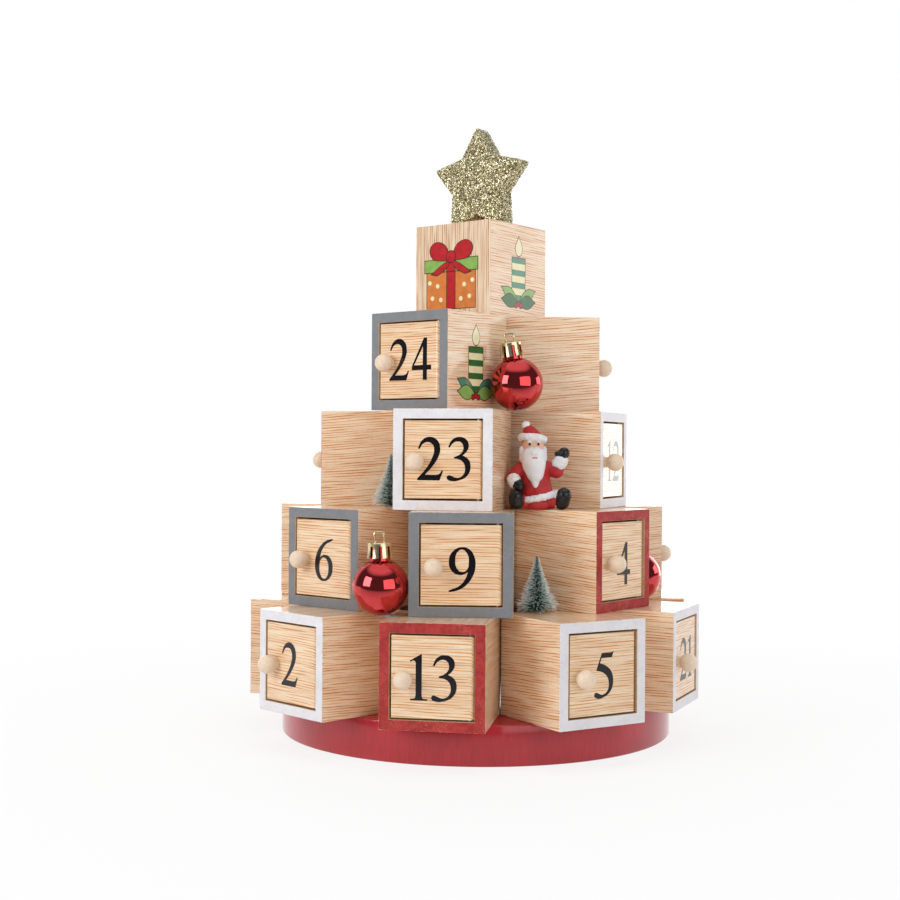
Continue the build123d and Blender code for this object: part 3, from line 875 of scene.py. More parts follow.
FIGURE_PAINTS = {
    "RED": resin_paint("figure_red", (176, 30, 36), (200, 44, 46), roughness=0.42),
    "WHITE": resin_paint(
        "figure_white", (231, 230, 234), (244, 243, 246), roughness=0.5, size=FUR_SKIN, bump=FUR_BUMP
    ),
    "BLACK": resin_paint("figure_black", (15, 15, 19), (26, 27, 31), roughness=0.16),
    "SKIN": resin_paint("figure_skin", (232, 182, 152), (244, 202, 174), roughness=0.42),
    "LIP": resin_paint("figure_lip", (196, 92, 88), (206, 104, 98), roughness=0.4),
}


def link(obj):
    bpy.context.scene.collection.objects.link(obj)
    return obj


def shift(x, y, z):
    """Move by millimetres."""
    return Matrix.Translation(Vector((x, y, z)) * MM)


def turned(angle, axis):
    return Matrix.Rotation(math.radians(angle), 4, axis)


def box_frames():
    """Place of every box by its day: the bottom middle of its back, with -Y out of its door."""
    found = {}
    for joint in frame["joints"]:
        pivot = Vector(joint["pos_m"])
        plan = [(vertex.co - pivot).to_2d() for vertex in frame["nodes"][joint["child"]].data.vertices]
        far = FREE_EDGE_SHARE * max(point.length for point in plan)
        free_edge = sum((point for point in plan if point.length > far), Vector((0, 0)))
        turn = Matrix.Rotation(math.atan2(-free_edge.y, -free_edge.x), 4, "Z")
        arm = turn @ Vector((PIVOT_X, PIVOT_Y, BOX_HEIGHT / 2))
        found[int(joint["child"][-2:])] = Matrix.Translation(pivot - arm * MM) @ turn
    return found


PLACES = box_frames()
FACE_FRONT = turned(QUARTER_TURN, "X")
FACE_RIGHT = turned(QUARTER_TURN, "Z") @ FACE_FRONT
CUBE_SPOT = [share * BOX_WIDTH for share in CUBE_PLACE_SHARES]
CUBE_PLACE = shift(*CUBE_SPOT, BASE_THICKNESS + BOX_RINGS * BOX_HEIGHT) @ turned(CUBE_YAW, "Z")


def mesh_of(build, name):
    """Mesh of a finished build."""
    mesh = bpy.data.meshes.new(name)
    build.to_mesh(mesh)
    build.free()
    return mesh


def evaluated(holder):
    """Final mesh of an object, which is then removed."""
    bpy.context.view_layer.update()
    graph = bpy.context.evaluated_depsgraph_get()
    mesh = bpy.data.meshes.new_from_object(holder.evaluated_get(graph))
    bpy.data.objects.remove(holder)
    return mesh


def piece(name, mesh, place, body, materials, node=None, smooth=SMOOTH_ANGLE, even=False):
    """Object of a mesh written in millimetres, riding on a body and standing for a node."""
    if isinstance(mesh, bmesh.types.BMesh):
        mesh = mesh_of(mesh, name)
    mesh.name = name
    own = mesh.attributes.new(OWN, "FLOAT_VECTOR", "POINT")
    own.data.foreach_set("vector", [value for vertex in mesh.vertices for value in vertex.co])
    mesh.transform(place @ Matrix.Scale(MM, 4))
    for material in materials:
        mesh.materials.append(material)
    if smooth:
        for polygon in mesh.polygons:
            polygon.use_smooth = True
        mesh.set_sharp_from_angle(angle=math.radians(smooth))
    obj = link(bpy.data.objects.new(name, mesh))
    if even:
        obj.modifiers.new("even", "WEIGHTED_NORMAL").keep_sharp = True
    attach(obj, body)
    if node:
        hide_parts(node)


def arc(radius, start, end, steps, x=0.0, y=0.0):
    """Points along an arc about x and y, between angles in radians."""
    angles = [start + (end - start) * index / steps for index in range(steps + 1)]
    return [(x + radius * math.cos(angle), y + radius * math.sin(angle)) for angle in angles]


def circle(radius, steps):
    return arc(radius, 0.0, math.tau, steps)[:-1]


def rectangle(left, right, low, high):
    return [(left, low, 0), (right, low, 0), (right, high, 0), (left, high, 0)]


def disc(x, y, radius):
    return [(x + radius, y, 1), (x, y + radius, 1), (x - radius, y, 1), (x, y - radius, 1)]


def stretched(shares, width, height, foot):
    """Outline in shares of a width and height, over a foot."""
    return [(x * width, foot + y * height, smooth) for x, y, smooth in shares]


def bridge(build, low, high, material=0):
    """Wall between two rings of vertices, either of which may be one point."""
    steps = max(len(low), len(high))
    faces = []
    for index in range(steps):
        after = (index + 1) % steps
        turns = ((low, index), (low, after), (high, after), (high, index))
        corners = [ring[turn % len(ring)] for ring, turn in turns]
        face = build.faces.new(list(dict.fromkeys(corners)))
        face.material_index = material
        faces.append(face)
    return faces


def loft(build, rings):
    """Closed skin over rings of vertices; returns the faces of its last wall."""
    for low, high in zip(rings, rings[1:]):
        wall = bridge(build, low, high)
    build.faces.new(list(reversed(rings[0])))
    build.faces.new(rings[-1])
    return wall


def outward(build):
    """The build, with its faces turned outwards."""
    bmesh.ops.recalc_face_normals(build, faces=build.faces)
    return build


def add_block(build, x, y, z, material=0):
    """Block between the low and high ends given along each axis."""
    corners = [build.verts.new((a, b, c)) for a in x for b in y for c in z]
    for loop in ((0, 1, 3, 2), (4, 6, 7, 5), (0, 4, 5, 1), (2, 3, 7, 6), (0, 2, 6, 4), (1, 5, 7, 3)):
        face = build.faces.new([corners[index] for index in loop])
        face.material_index = material


def add_tube(build, points, radii, sides):
    """Closed tube through points; returns its rings."""
    rings = []
    for index, (point, radius) in enumerate(zip(points, radii)):
        ahead = points[min(index + 1, len(points) - 1)] - points[max(index - 1, 0)]
        basis = ahead.to_track_quat("Z", "Y").to_matrix()
        offsets = [basis @ Vector((x, y, 0)) * radius for x, y in circle(1.0, sides)]
        rings.append([build.verts.new(point + offset) for offset in offsets])
    loft(build, rings)
    return rings


def edges_among(build, corners):
    return [edge for edge in build.edges if set(edge.verts) <= set(corners)]


def round_edges(build, edges, radius):
    bmesh.ops.bevel(
        build, geom=edges, offset=radius, offset_type="OFFSET", segments=EDGE_STEPS, profile=ROUND_PROFILE,
        affect="EDGES", clamp_overlap=True, material=-1,
    )


def lathe(profile, steps):
    """Closed surface turned about Z from radius and height pairs; zero radii become poles."""
    build = bmesh.new()
    rings = []
    for radius, height in profile:
        plan = circle(radius, steps) if radius else [(0, 0)]
        rings.append([build.verts.new((x, y, height)) for x, y in plan])
    for low, high in zip(rings, rings[1:]):
        bridge(build, low, high)
    return outward(build)


def flat_shape(loops, thickness, grow=0.0):
    """Mesh of flat outlines in millimetres: x, y and whether each point is smooth."""
    curve = bpy.data.curves.new("outline", "CURVE")
    curve.dimensions = "2D"
    curve.fill_mode = "BOTH"
    curve.extrude = thickness / 2
    curve.offset = grow
    curve.resolution_u = OUTLINE_STEPS
    for loop in loops:
        spline = curve.splines.new("BEZIER")
        spline.bezier_points.add(len(loop) - 1)
        spline.use_cyclic_u = True
        for point, (x, y, smooth) in zip(spline.bezier_points, loop):
            point.co = (x, y, 0)
            point.handle_left_type = point.handle_right_type = "AUTO" if smooth else "VECTOR"
    mesh = evaluated(link(bpy.data.objects.new("outline", curve)))
    bpy.data.curves.remove(curve)
    mesh.transform(Matrix.Translation((0, 0, thickness / 2)))
    return mesh


def remeshed(build, voxel, smoothing=0):
    """Mesh of one skin around everything in the build."""
    mesh = mesh_of(build, "form")
    holder = link(bpy.data.objects.new("form", mesh))
    skin = holder.modifiers.new("skin", "REMESH")
    skin.mode = "VOXEL"
    skin.voxel_size = voxel
    if smoothing:
        holder.modifiers.new("soft", "SMOOTH").iterations = smoothing
    result = evaluated(holder)
    bpy.data.meshes.remove(mesh)
    return result


def lumps(limbs, voxel, rough=None, height_share=1.0):
    """One skin around limbs, each two centres and two radii, cut flat at zero height."""
    build = bmesh.new()
    for start, end, start_radius, end_radius in limbs:
        limb = bmesh.new()
        for centre, radius in ((start, start_radius), (end, end_radius)):
            spot = Matrix.Translation(Vector(centre))
            bmesh.ops.create_icosphere(limb, subdivisions=LIMB_SUBDIVISIONS, radius=radius, matrix=spot)
        hull = bmesh.ops.convex_hull(limb, input=limb.verts)
        inner = [item for item in hull["geom_interior"] if isinstance(item, bmesh.types.BMVert)]
        bmesh.ops.delete(limb, geom=inner, context="VERTS")
        mesh = mesh_of(limb, "limb")
        build.from_mesh(mesh)
        bpy.data.meshes.remove(mesh)
    mesh = remeshed(build, voxel, SKIN_SMOOTHING)
    if rough:
        reach, size = rough
        for vertex in mesh.vertices:
            vertex.co += vertex.normal * reach * noise.noise(vertex.co / size)
    for vertex in mesh.vertices:
        vertex.co.z = max(vertex.co.z, 0) * height_share
    return mesh


def make_base():
    middle = BASE_RADIUS - BASE_EDGE_RADIUS
    low = arc(BASE_EDGE_RADIUS, -math.pi / 2, 0.0, EDGE_STEPS, middle, BASE_EDGE_RADIUS)
    high = [(radius, BASE_THICKNESS - rise) for radius, rise in reversed(low)]
    build = lathe([(0, 0), *low, *high, (0, BASE_THICKNESS)], BASE_STEPS)
    piece("base", build, Matrix.Identity(4), TOWER, [BASE_RED], "base_disc")


def box_shell():
    """One box, open in front: printed outside, painted front, bare inside, and its door stop."""
    build = bmesh.new()
    half, inner, roof = BOX_WIDTH / 2, INNER_HALF_WIDTH, BOX_HEIGHT - WALL
    outer = rectangle(-half, half, 0, BOX_HEIGHT)
    hole = rectangle(-inner, inner, WALL, roof)
    rings = []
    for outline, depth in ((outer, 0), (outer, -BOX_DEPTH), (hole, -BOX_DEPTH), (hole, -BACK_THICKNESS)):
        rings.append([build.verts.new((x, depth, z)) for x, z, _ in outline])
    back, front, mouth, end = rings
    bridge(build, back, front, 0)
    bridge(build, front, mouth, 2)
    bridge(build, mouth, end, 3)
    build.faces.new(list(reversed(back))).material_index = 1
    build.faces.new(end).material_index = 3
    outward(build)
    round_edges(build, edges_among(build, mouth), DOOR_EDGE)
    round_edges(build, edges_among(build, back + front), BOX_EDGE)
    stop_front = DOOR_BACK + STOP_GAP
    add_block(build, (-inner, STOP_WIDTH - inner), (stop_front, stop_front + STOP_DEPTH), (WALL, roof), 3)
    return build


def door_leaf():
    """Door plate with a rounded hinge edge: printed faces and bare edges."""
    build = bmesh.new()
    free_edge = DOOR_GAP - INNER_HALF_WIDTH
    hinge_edge = arc(DOOR_THICKNESS / 2, -math.pi / 2, math.pi / 2, ROUND_STEPS, PIVOT_X, PIVOT_Y)
    outline = [(free_edge, DOOR_BACK), (free_edge, DOOR_FRONT), *hinge_edge]
    wall = loft(build, [[build.verts.new((x, y, z)) for x, y in outline] for z in (DOOR_BOTTOM, DOOR_TOP)])
    for face in build.faces:
        face.material_index = 1
    wrapped = wall[1:2 + int(WRAP_SHARE * ROUND_STEPS)]
    for face in (*wrapped, wall[-1]):
        face.material_index = 0
    outward(build)
    edges = [edge for face in (wall[1], wall[-1]) for edge in face.edges]
    rims = [edge for edge in edges if edge.calc_face_angle(0) > math.radians(SMOOTH_ANGLE)]
    round_edges(build, rims, DOOR_EDGE)
    return build


def knob_shape():
    """Turned ball on a neck that flares where it meets the door, along -Y."""
    flare = KNOB_NECK_RADIUS + KNOB_FOOT
    start = math.asin(KNOB_NECK_RADIUS / KNOB_RADIUS)
    meet = KNOB_REACH - KNOB_RADIUS * math.cos(start)
    neck = [(0, KNOB_FOOT), (flare, KNOB_FOOT), (flare, 0), (KNOB_NECK_RADIUS, -meet / 2)]
    ball = arc(KNOB_RADIUS, math.pi / 2 - start, -math.pi / 2, KNOB_STEPS, 0.0, -KNOB_REACH)
    build = lathe([*neck, *ball[:-1], (0, -KNOB_REACH - KNOB_RADIUS)], KNOB_STEPS)
    build.transform(Matrix.Translation((KNOB_X, DOOR_FRONT, KNOB_Z)) @ turned(-QUARTER_TURN, "X"))
    return build


def digit_loops(digit):
    """Outlines of a digit; a six is a nine turned round."""
    if digit != "6":
        return DIGIT_SHARES[digit]
    middle_x, middle_y = SIX_CENTRE_SHARES
    loops = []
    for loop in DIGIT_SHARES["9"]:
        loops.append([(2 * middle_x - x, 2 * middle_y - y, smooth) for x, y, smooth in loop])
    return loops


def number_shape(day):
    """The day's digits side by side, about their common middle."""
    loops = []
    start = 0.0
    for digit in str(day):
        stretch = DIGIT_STRETCH_SHARES.get(digit, 1.0)
        outline = [[(x * stretch, y, smooth) for x, y, smooth in loop] for loop in digit_loops(digit)]
        reach = [x for loop in outline for x, _, _ in loop]
        left = start - min(reach)
        for loop in outline:
            loops.append([(left + x, y - DIGIT_MIDDLE_SHARE, smooth) for x, y, smooth in loop])
        start = left + max(reach) + DIGIT_SPACE_SHARE
    middle = (start - DIGIT_SPACE_SHARE) / 2
    sized = []
    for loop in loops:
        centred = [(x - middle, y, smooth) for x, y, smooth in loop]
        sized.append(stretched(centred, DIGIT_HEIGHT, DIGIT_HEIGHT, 0))
    return flat_shape(sized, INK, INK_SPREAD)


def make_boxes():
    """Every box with its door, knob and number."""
    for day, place in sorted(PLACES.items()):
        tier = round((place.translation.z / MM - BASE_THICKNESS) / BOX_HEIGHT) + 1
        paint = RED_PAINT if day in RED_DAYS else GREY_PAINT if day in GREY_DAYS else WHITE_PAINT
        skins = [PRINT_Y, PRINT_X, paint, INSIDE_WOOD]
        boxes = f"tier_{tier}_boxes"
        piece(f"box_{day:02d}", box_shell(), place, TOWER, skins, boxes, even=True)
        leaf = f"door_{day:02d}"
        skins = [PRINT_X, EDGE_WOOD]
        piece(f"leaf_{day:02d}", door_leaf(), place, leaf, skins, leaf, even=True)
        knob = f"knob_{day:02d}"
        piece(f"pull_{day:02d}", knob_shape(), place, leaf, [KNOB_WOOD], knob)
        right, below = (share * BOX_WIDTH for share in NUMBER_SHARES.get(day, USUAL_NUMBER_SHARES))
        spot = place @ shift(right, DOOR_FRONT, BOX_HEIGHT / 2 - below) @ FACE_FRONT
        piece(f"number_{day:02d}", number_shape(day), spot, leaf, [INK_BLACK], smooth=None)
    pins = frame["nodes"]["hinge_pins"].data.materials
    pins.clear()
    pins.append(PIN_STEEL)


def make_cube():
    """Closed cube: upright grain on its front and back, level grain on its sides and top."""
    build = bmesh.new()
    half = CUBE_SIDE / 2
    add_block(build, (-half, half), (-half, half), (0, CUBE_SIDE))
    outward(build)
    for face in build.faces:
        face.material_index = 0 if abs(face.normal.y) > abs(face.normal.x) + abs(face.normal.z) else 1
    round_edges(build, list(build.edges), CUBE_EDGE)
    skins = [PRINT_Z, PRINT_Y]
    piece("cube", build, CUBE_PLACE, TOWER, skins, "top_cube", even=True)


def star_outline():
    """Corners of the star in the plane, its tips rounded."""
    points = []
    for index in range(2 * STAR_POINTS):
        radius = (STAR_NOTCH_RADIUS if index % 2 else STAR_TIP_RADIUS) - STAR_COAT
        angle = math.pi / 2 + index * math.pi / STAR_POINTS
        points.append(Vector((radius * math.cos(angle), radius * math.sin(angle))))
    rounded = []
    for index, point in enumerate(points):
        if index % 2:
            rounded.append(point)
            continue
        before = (points[index - 1] - point).normalized()
        after = (points[(index + 1) % len(points)] - point).normalized()
        half_angle = before.angle(after) / 2
        cut = STAR_TIP_ROUNDING / math.tan(half_angle)
        middle = point + (before + after).normalized() * STAR_TIP_ROUNDING / math.sin(half_angle)
        first = point + before * cut - middle
        last = point + after * cut - middle
        sweep = first.angle_signed(last)
        for step in range(ROUND_STEPS + 1):
            turn = Matrix.Rotation(-sweep * step / ROUND_STEPS, 2)
            rounded.append(middle + turn @ first)
    return rounded


def make_star():
    """Star of small tilted facets, like coarse glitter, on its two lower tips, and its peg."""
    build = bmesh.new()
    half = STAR_THICKNESS / 2 - STAR_COAT
    outline = star_outline()
    loft(build, [[build.verts.new((x, y, z)) for x, z in outline] for y in (-half, half)])
    outward(build)
    round_edges(build, [edge for edge in build.edges if edge.verts[0].co.y == edge.verts[1].co.y], STAR_EDGE)
    floor = min(vertex.co.z for vertex in build.verts)
    facets = bmesh.new()
    facets.from_mesh(remeshed(build, FLAKE))
    bmesh.ops.triangulate(facets, faces=facets.faces)
    facets.normal_update()
    chance = random.Random(STAR_SEED)
    for vertex in facets.verts:
        drift = Vector([chance.uniform(-1, 1) for _ in range(3)])
        vertex.co += drift * FLAKE_JITTER + vertex.normal * chance.uniform(-1, 1) * FLAKE_JITTER
        vertex.co.z = max(vertex.co.z, floor)
    seat = CUBE_PLACE @ shift(0, 0, CUBE_SIDE + STAR_COAT - floor)
    piece("star_body", facets, seat, TOWER, [GLITTER], "star", smooth=None)
    peg_top = CUBE_SIDE + PEG_SHOWN
    profile = [(0, CUBE_SIDE), (PEG_RADIUS, CUBE_SIDE), (PEG_RADIUS, peg_top), (0, peg_top)]
    piece("star_peg", lathe(profile, ROUND_STEPS * 2), CUBE_PLACE, TOWER, [PEG_WOOD], "star")


def beside(day, side, depth_share, reach):
    """Place on the step beside a box, reach away from its side."""
    return PLACES[day] @ shift(side * (BOX_WIDTH / 2 + reach), -BOX_DEPTH * (1 - depth_share), 0)


def bauble_ball():
    """Blown ball that runs up into its neck."""
    end = math.pi / 2 - math.asin(NECK_RADIUS / BAUBLE_RADIUS)
    ball = arc(BAUBLE_RADIUS, -math.pi / 2, end, BALL_STEPS)
    top = BAUBLE_RADIUS + NECK_RISE
    neck = [(NECK_RADIUS, top - CAP_SHEET), (NECK_RADIUS - CAP_SHEET, top), (0, top)]
    return lathe([(0, -BAUBLE_RADIUS), *ball[1:], *neck], 2 * BALL_STEPS)


def eyelet_path(foot):
    """Middle of the eyelet's wire: up one side, round two bends and down the other side."""
    reach = (EYELET_WIDTH - EYELET_WIRE) / 2
    side = reach - EYELET_BEND
    low = foot - EYELET_WIRE / 2
    bend = low + EYELET_HEIGHT - EYELET_BEND
    left = arc(EYELET_BEND, math.pi, math.pi / 2, EDGE_STEPS, -side, bend)
    right = arc(EYELET_BEND, math.pi / 2, 0.0, EDGE_STEPS, side, bend)
    return [Vector((x, 0, z)) for x, z in ((-reach, low), *left, *right, (reach, low))]


def bauble_cap():
    """Gold crown: a lid, tongues that point down and flare a little, and a square eyelet."""
    build = bmesh.new()
    top = BAUBLE_RADIUS + NECK_RISE + CAP_SHEET
    slot_steps = round(CAP_STEPS * CAP_SLOT_SHARE)
    steps = CAP_TONGUES * CAP_STEPS
    slot_top = top - (CAP_DEPTH - CAP_SLOT_DEPTH)

    def ring(radius, height):
        return [build.verts.new((x, y, height)) for x, y in circle(radius, steps)]

    outside = [ring(CAP_RADIUS - CAP_SHEET, top), ring(CAP_RADIUS, top - CAP_SHEET)]
    inside = [ring(CAP_RADIUS - CAP_SHEET, top - CAP_SHEET * 2)]
    for index in range(CAP_STEPS + 1):
        share = index / CAP_STEPS
        radius = CAP_RADIUS + CAP_FLARE * share * share
        outside.append(ring(radius, slot_top - CAP_SLOT_DEPTH * share))
        inside.append(ring(radius - CAP_SHEET, slot_top - CAP_SLOT_DEPTH * share))
    build.faces.new(outside[0])
    build.faces.new(list(reversed(inside[0])))
    for rows, flip in ((outside, False), (inside, True)):
        closed = len(rows) - CAP_STEPS - 1
        for row, (high, low) in enumerate(zip(rows, rows[1:])):
            for index in range(steps):
                if row >= closed and index % CAP_STEPS < slot_steps:
                    continue
                after = (index + 1) % steps
                corners = [high[index], low[index], low[after], high[after]]
                build.faces.new(list(reversed(corners)) if flip else corners)
    pairs = {}
    for outer_row, inner_row in zip(outside[2:], inside[1:]):
        pairs.update(zip(outer_row, inner_row))
    for edge in [edge for edge in build.edges if len(edge.link_faces) == 1]:
        first, second = edge.verts
        if first in pairs and second in pairs:
            build.faces.new((first, second, pairs[second], pairs[first]))
    loose = [vertex for vertex in build.verts if not vertex.link_faces]
    bmesh.ops.delete(build, geom=loose, context="VERTS")
    path = eyelet_path(top)
    add_tube(build, path, [EYELET_WIRE / 2] * len(path), EYELET_SIDES)
    return outward(build)


def bauble_spot(day, side, depth_share):
    return Matrix.Translation(beside(day, side, depth_share, BAUBLE_RADIUS + DECOR_GAP).translation)


def make_baubles():
    for index, (*row, lean) in enumerate(BAUBLE_SHARES, 1):
        place = bauble_spot(*row) @ shift(0, 0, BAUBLE_RADIUS + DECOR_GAP) @ turned(-lean, "Y")
        piece(f"bauble_{index}", bauble_ball(), place, TOWER, [BALL_RED], "bauble_balls")
        cap = bauble_cap()
        piece(f"bauble_cap_{index}", cap, place, TOWER, [CAP_GOLD], "bauble_caps", even=True)


def tree_shape(seed):
    """Wire stem with fine strands in a spiral, a little uneven, that droop towards their tips."""
    chance = random.Random(seed)
    build = bmesh.new()
    tip = build.verts.layers.float.new(TIP)
    stem = [Vector((0, 0, height)) for height in (0, TREE_HEIGHT)]
    add_tube(build, stem, [STEM_RADIUS, STEM_RADIUS / 2], STEM_SIDES)
    span = TREE_HEIGHT - TREE_FOOT - STEM_RADIUS
    shares = [step / (STRAND_POINTS - 1) for step in range(STRAND_POINTS)]
    for index in range(TREE_STRANDS):
        climb = index / TREE_STRANDS
        reach = TREE_TOP_RADIUS + (TREE_RADIUS - TREE_TOP_RADIUS) * (1 - climb) ** TREE_FLARE
        reach *= 1 - TREE_UNEVEN_SHARE * chance.random() ** 2
        angle = index * GOLDEN_ANGLE + chance.uniform(-STRAND_DRIFT, STRAND_DRIFT)
        rise = math.tan(math.radians(chance.uniform(*STRAND_RISE)))
        points = []
        for share in shares:
            out = STEM_RADIUS / 2 + (reach - STEM_RADIUS / 2) * share
            height = TREE_FOOT + span * climb + out * rise - STRAND_DROOP_SHARE * reach * share ** 3
            height = min(max(height, STRAND_RADIUS * 2), TREE_HEIGHT)
            points.append(Vector((out * math.cos(angle), out * math.sin(angle), height)))
        radii = [STRAND_RADIUS * (1 - STRAND_TAPER_SHARE * share) for share in shares]
        for ring, share in zip(add_tube(build, points, radii, STRAND_SIDES), shares):
            for vertex in ring:
                vertex[tip] = share
    return outward(build)


def make_trees():
    for index, row in enumerate(TREE_SHARES, 1):
        place = beside(*row, TREE_RADIUS + DECOR_GAP)
        piece(f"tree_{index}", tree_shape(index), place, TOWER, [BRISTLE], "trees")
        mound = lumps([((0, 0, 0), (0, 0, MOUND_LIFT), *MOUND_RADII)], MOUND_VOXEL, None, MOUND_HEIGHT_SHARE)
        piece(f"tree_glue_{index}", mound, place, TOWER, [MOUND_GLUE])


def figure_rings():
    """Rolls round the hat and the coat, as short limbs from point to point."""
    rings = {}
    for name, (centre, (across, deep), roll, (nod, lean)) in FIGURE_RING_SHARES.items():
        turn = turned(nod, "X") @ turned(lean, "Y")
        points = []
        for x, y in arc(1.0, 0.0, math.tau, RING_STEPS):
            points.append(tuple(Vector(centre) + turn @ Vector((across * x, deep * y, 0))))
        rings[name] = [(start, end, roll, roll) for start, end in zip(points, points[1:])]
    return rings


def make_figure():
    """Seated figure of painted parts, each one skin over its limbs, with a plain face of its own."""
    day, side, depth_share, reach_share = FIGURE_PLACE_SHARES
    seat = beside(day, side, depth_share, reach_share * FIGURE_HEIGHT) @ turned(FIGURE_TURN, "Z")
    for name, limbs in {**FIGURE_SHARES, **figure_rings()}.items():
        sized = []
        for start, end, *radii in limbs:
            ends = [tuple(share * FIGURE_HEIGHT for share in point) for point in (start, end)]
            sized.append((*ends, *(share * FIGURE_HEIGHT for share in radii)))
        finish = FIGURE_FINISHES.get(name, "WHITE")
        furry = finish == "WHITE" and name not in FINE_PARTS + SLEEK_PARTS
        voxel = FINE_VOXEL if name in FINE_PARTS else FIGURE_VOXEL
        mesh = lumps(sized, voxel, FUR_ROUGHNESS if furry else None)
        paint = FIGURE_PAINTS[finish]
        piece(f"figure_{name}", mesh, seat, TOWER, [paint], "seated_figure", ALL_SMOOTH)


def make_glue():
    """Small clear dabs under two of the baubles."""
    for index, (row, (x, y), radius) in enumerate(zip(BAUBLE_SHARES, DAB_OFFSETS, DAB_RADII), 1):
        run = ((x, y, 0), (x + radius, y, 0), radius, radius * DAB_TAPER_SHARE)
        dab = lumps([run, ((0, 0, 0), (x, y, 0), radius, radius)], DAB_VOXEL, DAB_ROUGHNESS, DAB_HEIGHT_SHARE)
        piece(f"bauble_glue_{index}", dab, bauble_spot(*row[:3]), TOWER, [GLUE], smooth=ALL_SMOOTH)


def motif(name, place, shapes):
    """Printed shapes, each on the one before, with a dark line round those that ask for one."""
    for index, (loop, material, lined) in enumerate(shapes):
        lift = index * MOTIF_LAYER
        if lined:
            mesh = flat_shape([loop], lift + MOTIF_LAYER / 2, MOTIF_LINE)
            piece(f"{name}_line_{index:02d}", mesh, place, TOWER, [LINE_INK], smooth=None)
        mesh = flat_shape([loop], lift + MOTIF_LAYER)
        piece(f"{name}_{index:02d}", mesh, place, TOWER, [material], smooth=None)


def gift_motif():
    """Wrapped box with a lid, crossed ribbons, dots and a bow."""
    half = GIFT_WIDTH / 2
    wide = half + GIFT_LID_OVERHANG
    ribbon = GIFT_RIBBON / 2
    lid = GIFT_FOOT + GIFT_HEIGHT
    top = lid + GIFT_LID
    shapes = [
        (rectangle(-half, half, GIFT_FOOT, lid), GIFT_TAN, True),
        (rectangle(-ribbon, ribbon, GIFT_FOOT, lid), GIFT_RED, True),
    ]
    for side in (-1, 1):
        for across, rise in DOT_SHARES:
            x = side * (ribbon + (half - ribbon) * across)
            shapes.append((disc(x, GIFT_FOOT + GIFT_HEIGHT * rise, DOT_RADIUS), CREAM, False))
    shapes.append((rectangle(-wide, wide, lid, top), GIFT_GREEN, True))
    shapes.append((rectangle(-ribbon, ribbon, lid, top), GIFT_RED, True))
    for side in (-1, 1):
        for shares in BOW_SHARES:
            shapes.append((stretched(shares, side * BOW_REACH, BOW_RISE, top), GIFT_RED, True))
    rise, size = KNOT_SHARES
    shapes.append((disc(0, top + BOW_RISE * rise, GIFT_RIBBON * size), GIFT_RED, True))
    return shapes


def leaf_shape(side, foot, lean_share):
    """Pointed leaf from the foot of a candle to one side, lower with a smaller share."""
    bend = lean_share * LEAF_BEND_SHARE
    (over_x, over_y), (under_x, under_y) = LEAF_OVER_SHARES, LEAF_UNDER_SHARES
    shares = ((0, 0, 0), (over_x, bend + over_y, 1), (1, lean_share, 0), (under_x, bend + under_y, 1))
    return stretched(shares, side * LEAF_REACH, LEAF_RISE, foot)


def candle_motif(foot, body, leaves):
    """Banded candle with a flame, standing on a spray of leaves with berries."""
    half = CANDLE_WIDTH / 2
    wick = WICK_WIDTH / 2
    low = foot + LEAF_RISE * CANDLE_FOOT_SHARE
    top = low + CANDLE_HEIGHT
    shapes = [(rectangle(-half, half, low, top), body, True)]
    for band in range(CANDLE_BANDS):
        middle = low + CANDLE_HEIGHT * (band + 1) / (CANDLE_BANDS + BAND_TOP_SHARE)
        stripe = rectangle(-half, half, middle - BAND_HEIGHT / 2, middle + BAND_HEIGHT / 2)
        shapes.append((stripe, CREAM, False))
    shapes.append((rectangle(-wick, wick, top, top + WICK_HEIGHT), LINE_INK, False))
    flame = stretched(FLAME_SHARES, FLAME_WIDTH, FLAME_HEIGHT, top + WICK_HEIGHT * FLAME_FOOT_SHARE)
    shapes.append((flame, CREAM, True))
    for lean_share, tone in zip(LEAF_LEAN_SHARES, leaves):
        for side in (-1, 1):
            shapes.append((leaf_shape(side, low, lean_share), tone, True))
    apart, drop = (share * DOT_RADIUS for share in BERRY_SHARES)
    for side in (-1, 0, 1):
        shapes.append((disc(side * apart, low - abs(side) * drop, DOT_RADIUS), GIFT_RED, True))
    return shapes


def make_motifs():
    half = CUBE_SIDE / 2
    motif("gift", CUBE_PLACE @ shift(GIFT_SHIFT, -half, 0) @ FACE_FRONT, gift_motif())
    side = CUBE_PLACE @ shift(half, 0, 0) @ FACE_RIGHT
    motif("cube_candle", side, candle_motif(CUBE_CANDLE_FOOT, LEAF_DEEP, (LEAF_LIGHT, LEAF_DARK)))
    side = beside(BOX_CANDLE_DAY, 1, BOX_CANDLE_DEPTH_SHARE, 0) @ FACE_RIGHT
    motif("box_candle", side, candle_motif(BOX_CANDLE_FOOT, LEAF_DARK, (LEAF_DEEP, LEAF_LIGHT)))


def make_camera():
    data = bpy.data.cameras.new("camera")
    data.lens = LENS
    data.sensor_width = SENSOR
    data.clip_start, data.clip_end = CAMERA_CLIP
    camera = link(bpy.data.objects.new("camera", data))
    aim = turned(CAMERA_PAN, "Z") @ turned(CAMERA_TILT, "X") @ turned(CAMERA_ROLL, "Z")
    camera.matrix_world = shift(*CAMERA_SPOT) @ aim
    bpy.context.scene.camera = camera


def seen_directly(shade, mirrored):
    """Glow of the white surroundings, 1 for the camera and glass and mirrored for reflections, and
    where it is seen at all."""
    path = shade.add("LightPath")
    through = shade.math("MAXIMUM", path["Is Camera Ray"], path["Is Transmission Ray"])
    glow = shade.math("MAXIMUM", through, shade.math("MULTIPLY", path["Is Glossy Ray"], mirrored))
    return glow, shade.math("MAXIMUM", through, path["Is Glossy Ray"])


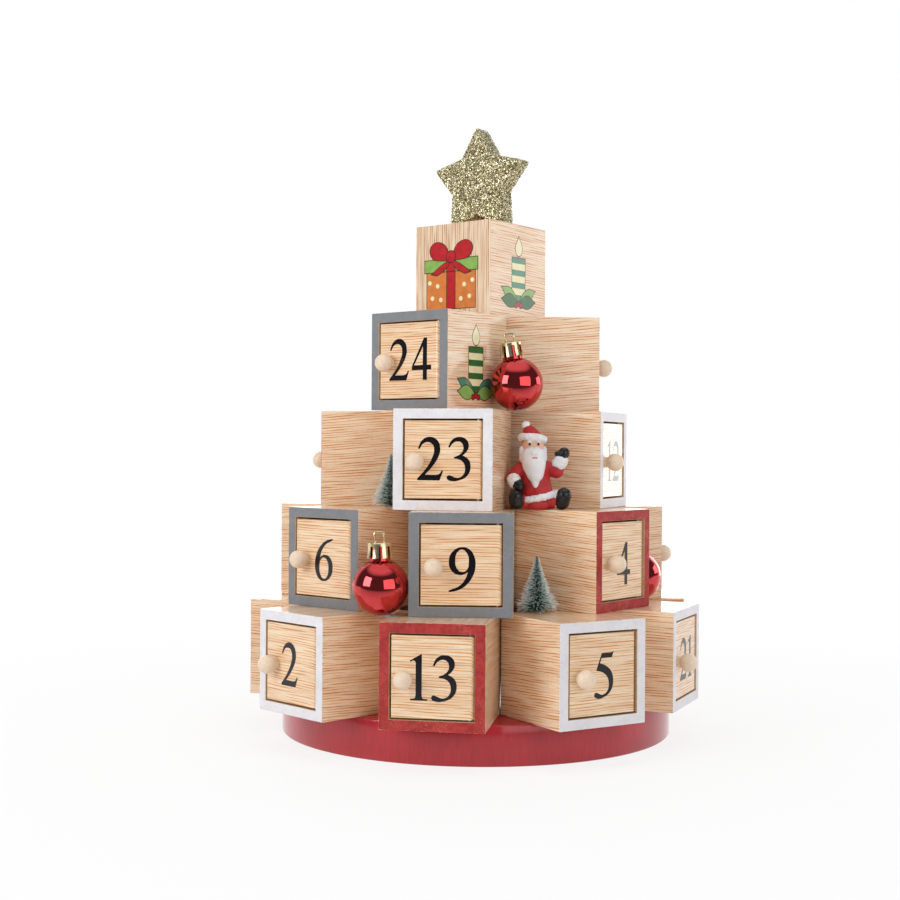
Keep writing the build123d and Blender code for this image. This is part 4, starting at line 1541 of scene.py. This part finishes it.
def make_floor():
    """White floor that shines white away from the object and keeps the object's shadow."""
    shade = Shader("floor_white")
    place = shade.add("TexCoord")["Object"]
    far = shade.add("VectorMath", {0: place}, operation="LENGTH")["Value"]
    glow, seen = seen_directly(shade, shade.fit(shade.split(place)[1], FRONT_FLOOR_GLOW, 1.0, FRONT_FLOOR))
    seen = shade.math("MULTIPLY", seen, shade.fit(far, SHADOW_GLOW, 1.0, SHADOW_REACH))
    shade.surface(Base_Color=colour(*FLOOR_COLOUR), Roughness=FLOOR_ROUGHNESS, Specular_IOR_Level=0.0)
    matt = shade.tree.nodes["Principled BSDF"].outputs[0]
    light = shade.add("Emission", {"Color": WHITE_LIGHT, "Strength": glow})[0]
    both = shade.add("MixShader", {0: seen, 1: matt, 2: light})[0]
    shade.put(shade.tree.nodes["Material Output"].inputs["Surface"], both)
    build = bmesh.new()
    bmesh.ops.create_circle(build, cap_ends=True, segments=FLOOR_STEPS, radius=FLOOR_RADIUS * MM)
    mesh = mesh_of(build, "floor")
    mesh.materials.append(shade.made)
    link(bpy.data.objects.new("floor", mesh))


def make_world():
    """White to look at, with reflections of a bright backdrop and ceiling and a dim room in front."""
    shade = Shader("studio", bpy.data.worlds)
    parts = shade.split(shade.add("TexCoord")["Generated"])
    backdrop = shade.fit(parts[1], DARK_ROOM, 1.0, BACKDROP_EDGE)
    ceiling = shade.fit(parts[2], 0.0, 1.0, CEILING_EDGE)
    glow, seen = seen_directly(shade, shade.math("MAXIMUM", backdrop, ceiling))
    falling = shade.math("MULTIPLY", shade.math("SUBTRACT", 1.0, seen), AMBIENT)
    background = shade.tree.nodes["Background"].inputs
    shade.put(background["Color"], WHITE_LIGHT)
    shade.put(background["Strength"], shade.math("ADD", glow, falling))
    bpy.context.scene.world = shade.made


def make_lights():
    for name, bearing, rise, distance, width, height, watts in SOFTBOXES:
        data = bpy.data.lights.new(name, "AREA")
        data.shape = "RECTANGLE"
        data.size = width * MM
        data.size_y = height * MM
        data.energy = watts
        lamp = link(bpy.data.objects.new(name, data))
        lamp.visible_camera = False
        lamp.visible_glossy = name not in UNMIRRORED_LAMPS
        side, lift = math.radians(bearing), math.radians(rise)
        out = Vector((math.sin(side) * math.cos(lift), -math.cos(side) * math.cos(lift), math.sin(lift)))
        spot = Vector(AIM) + out * distance
        lamp.matrix_world = Matrix.Translation(spot * MM) @ out.to_track_quat("Z", "Y").to_matrix().to_4x4()


make_base()
make_boxes()
make_cube()
make_motifs()
make_star()
make_baubles()
make_trees()
make_figure()
make_glue()
make_floor()
make_world()
make_lights()
make_camera()
bpy.context.scene.view_settings.view_transform = "Standard"

bpy.context.view_layer.update()
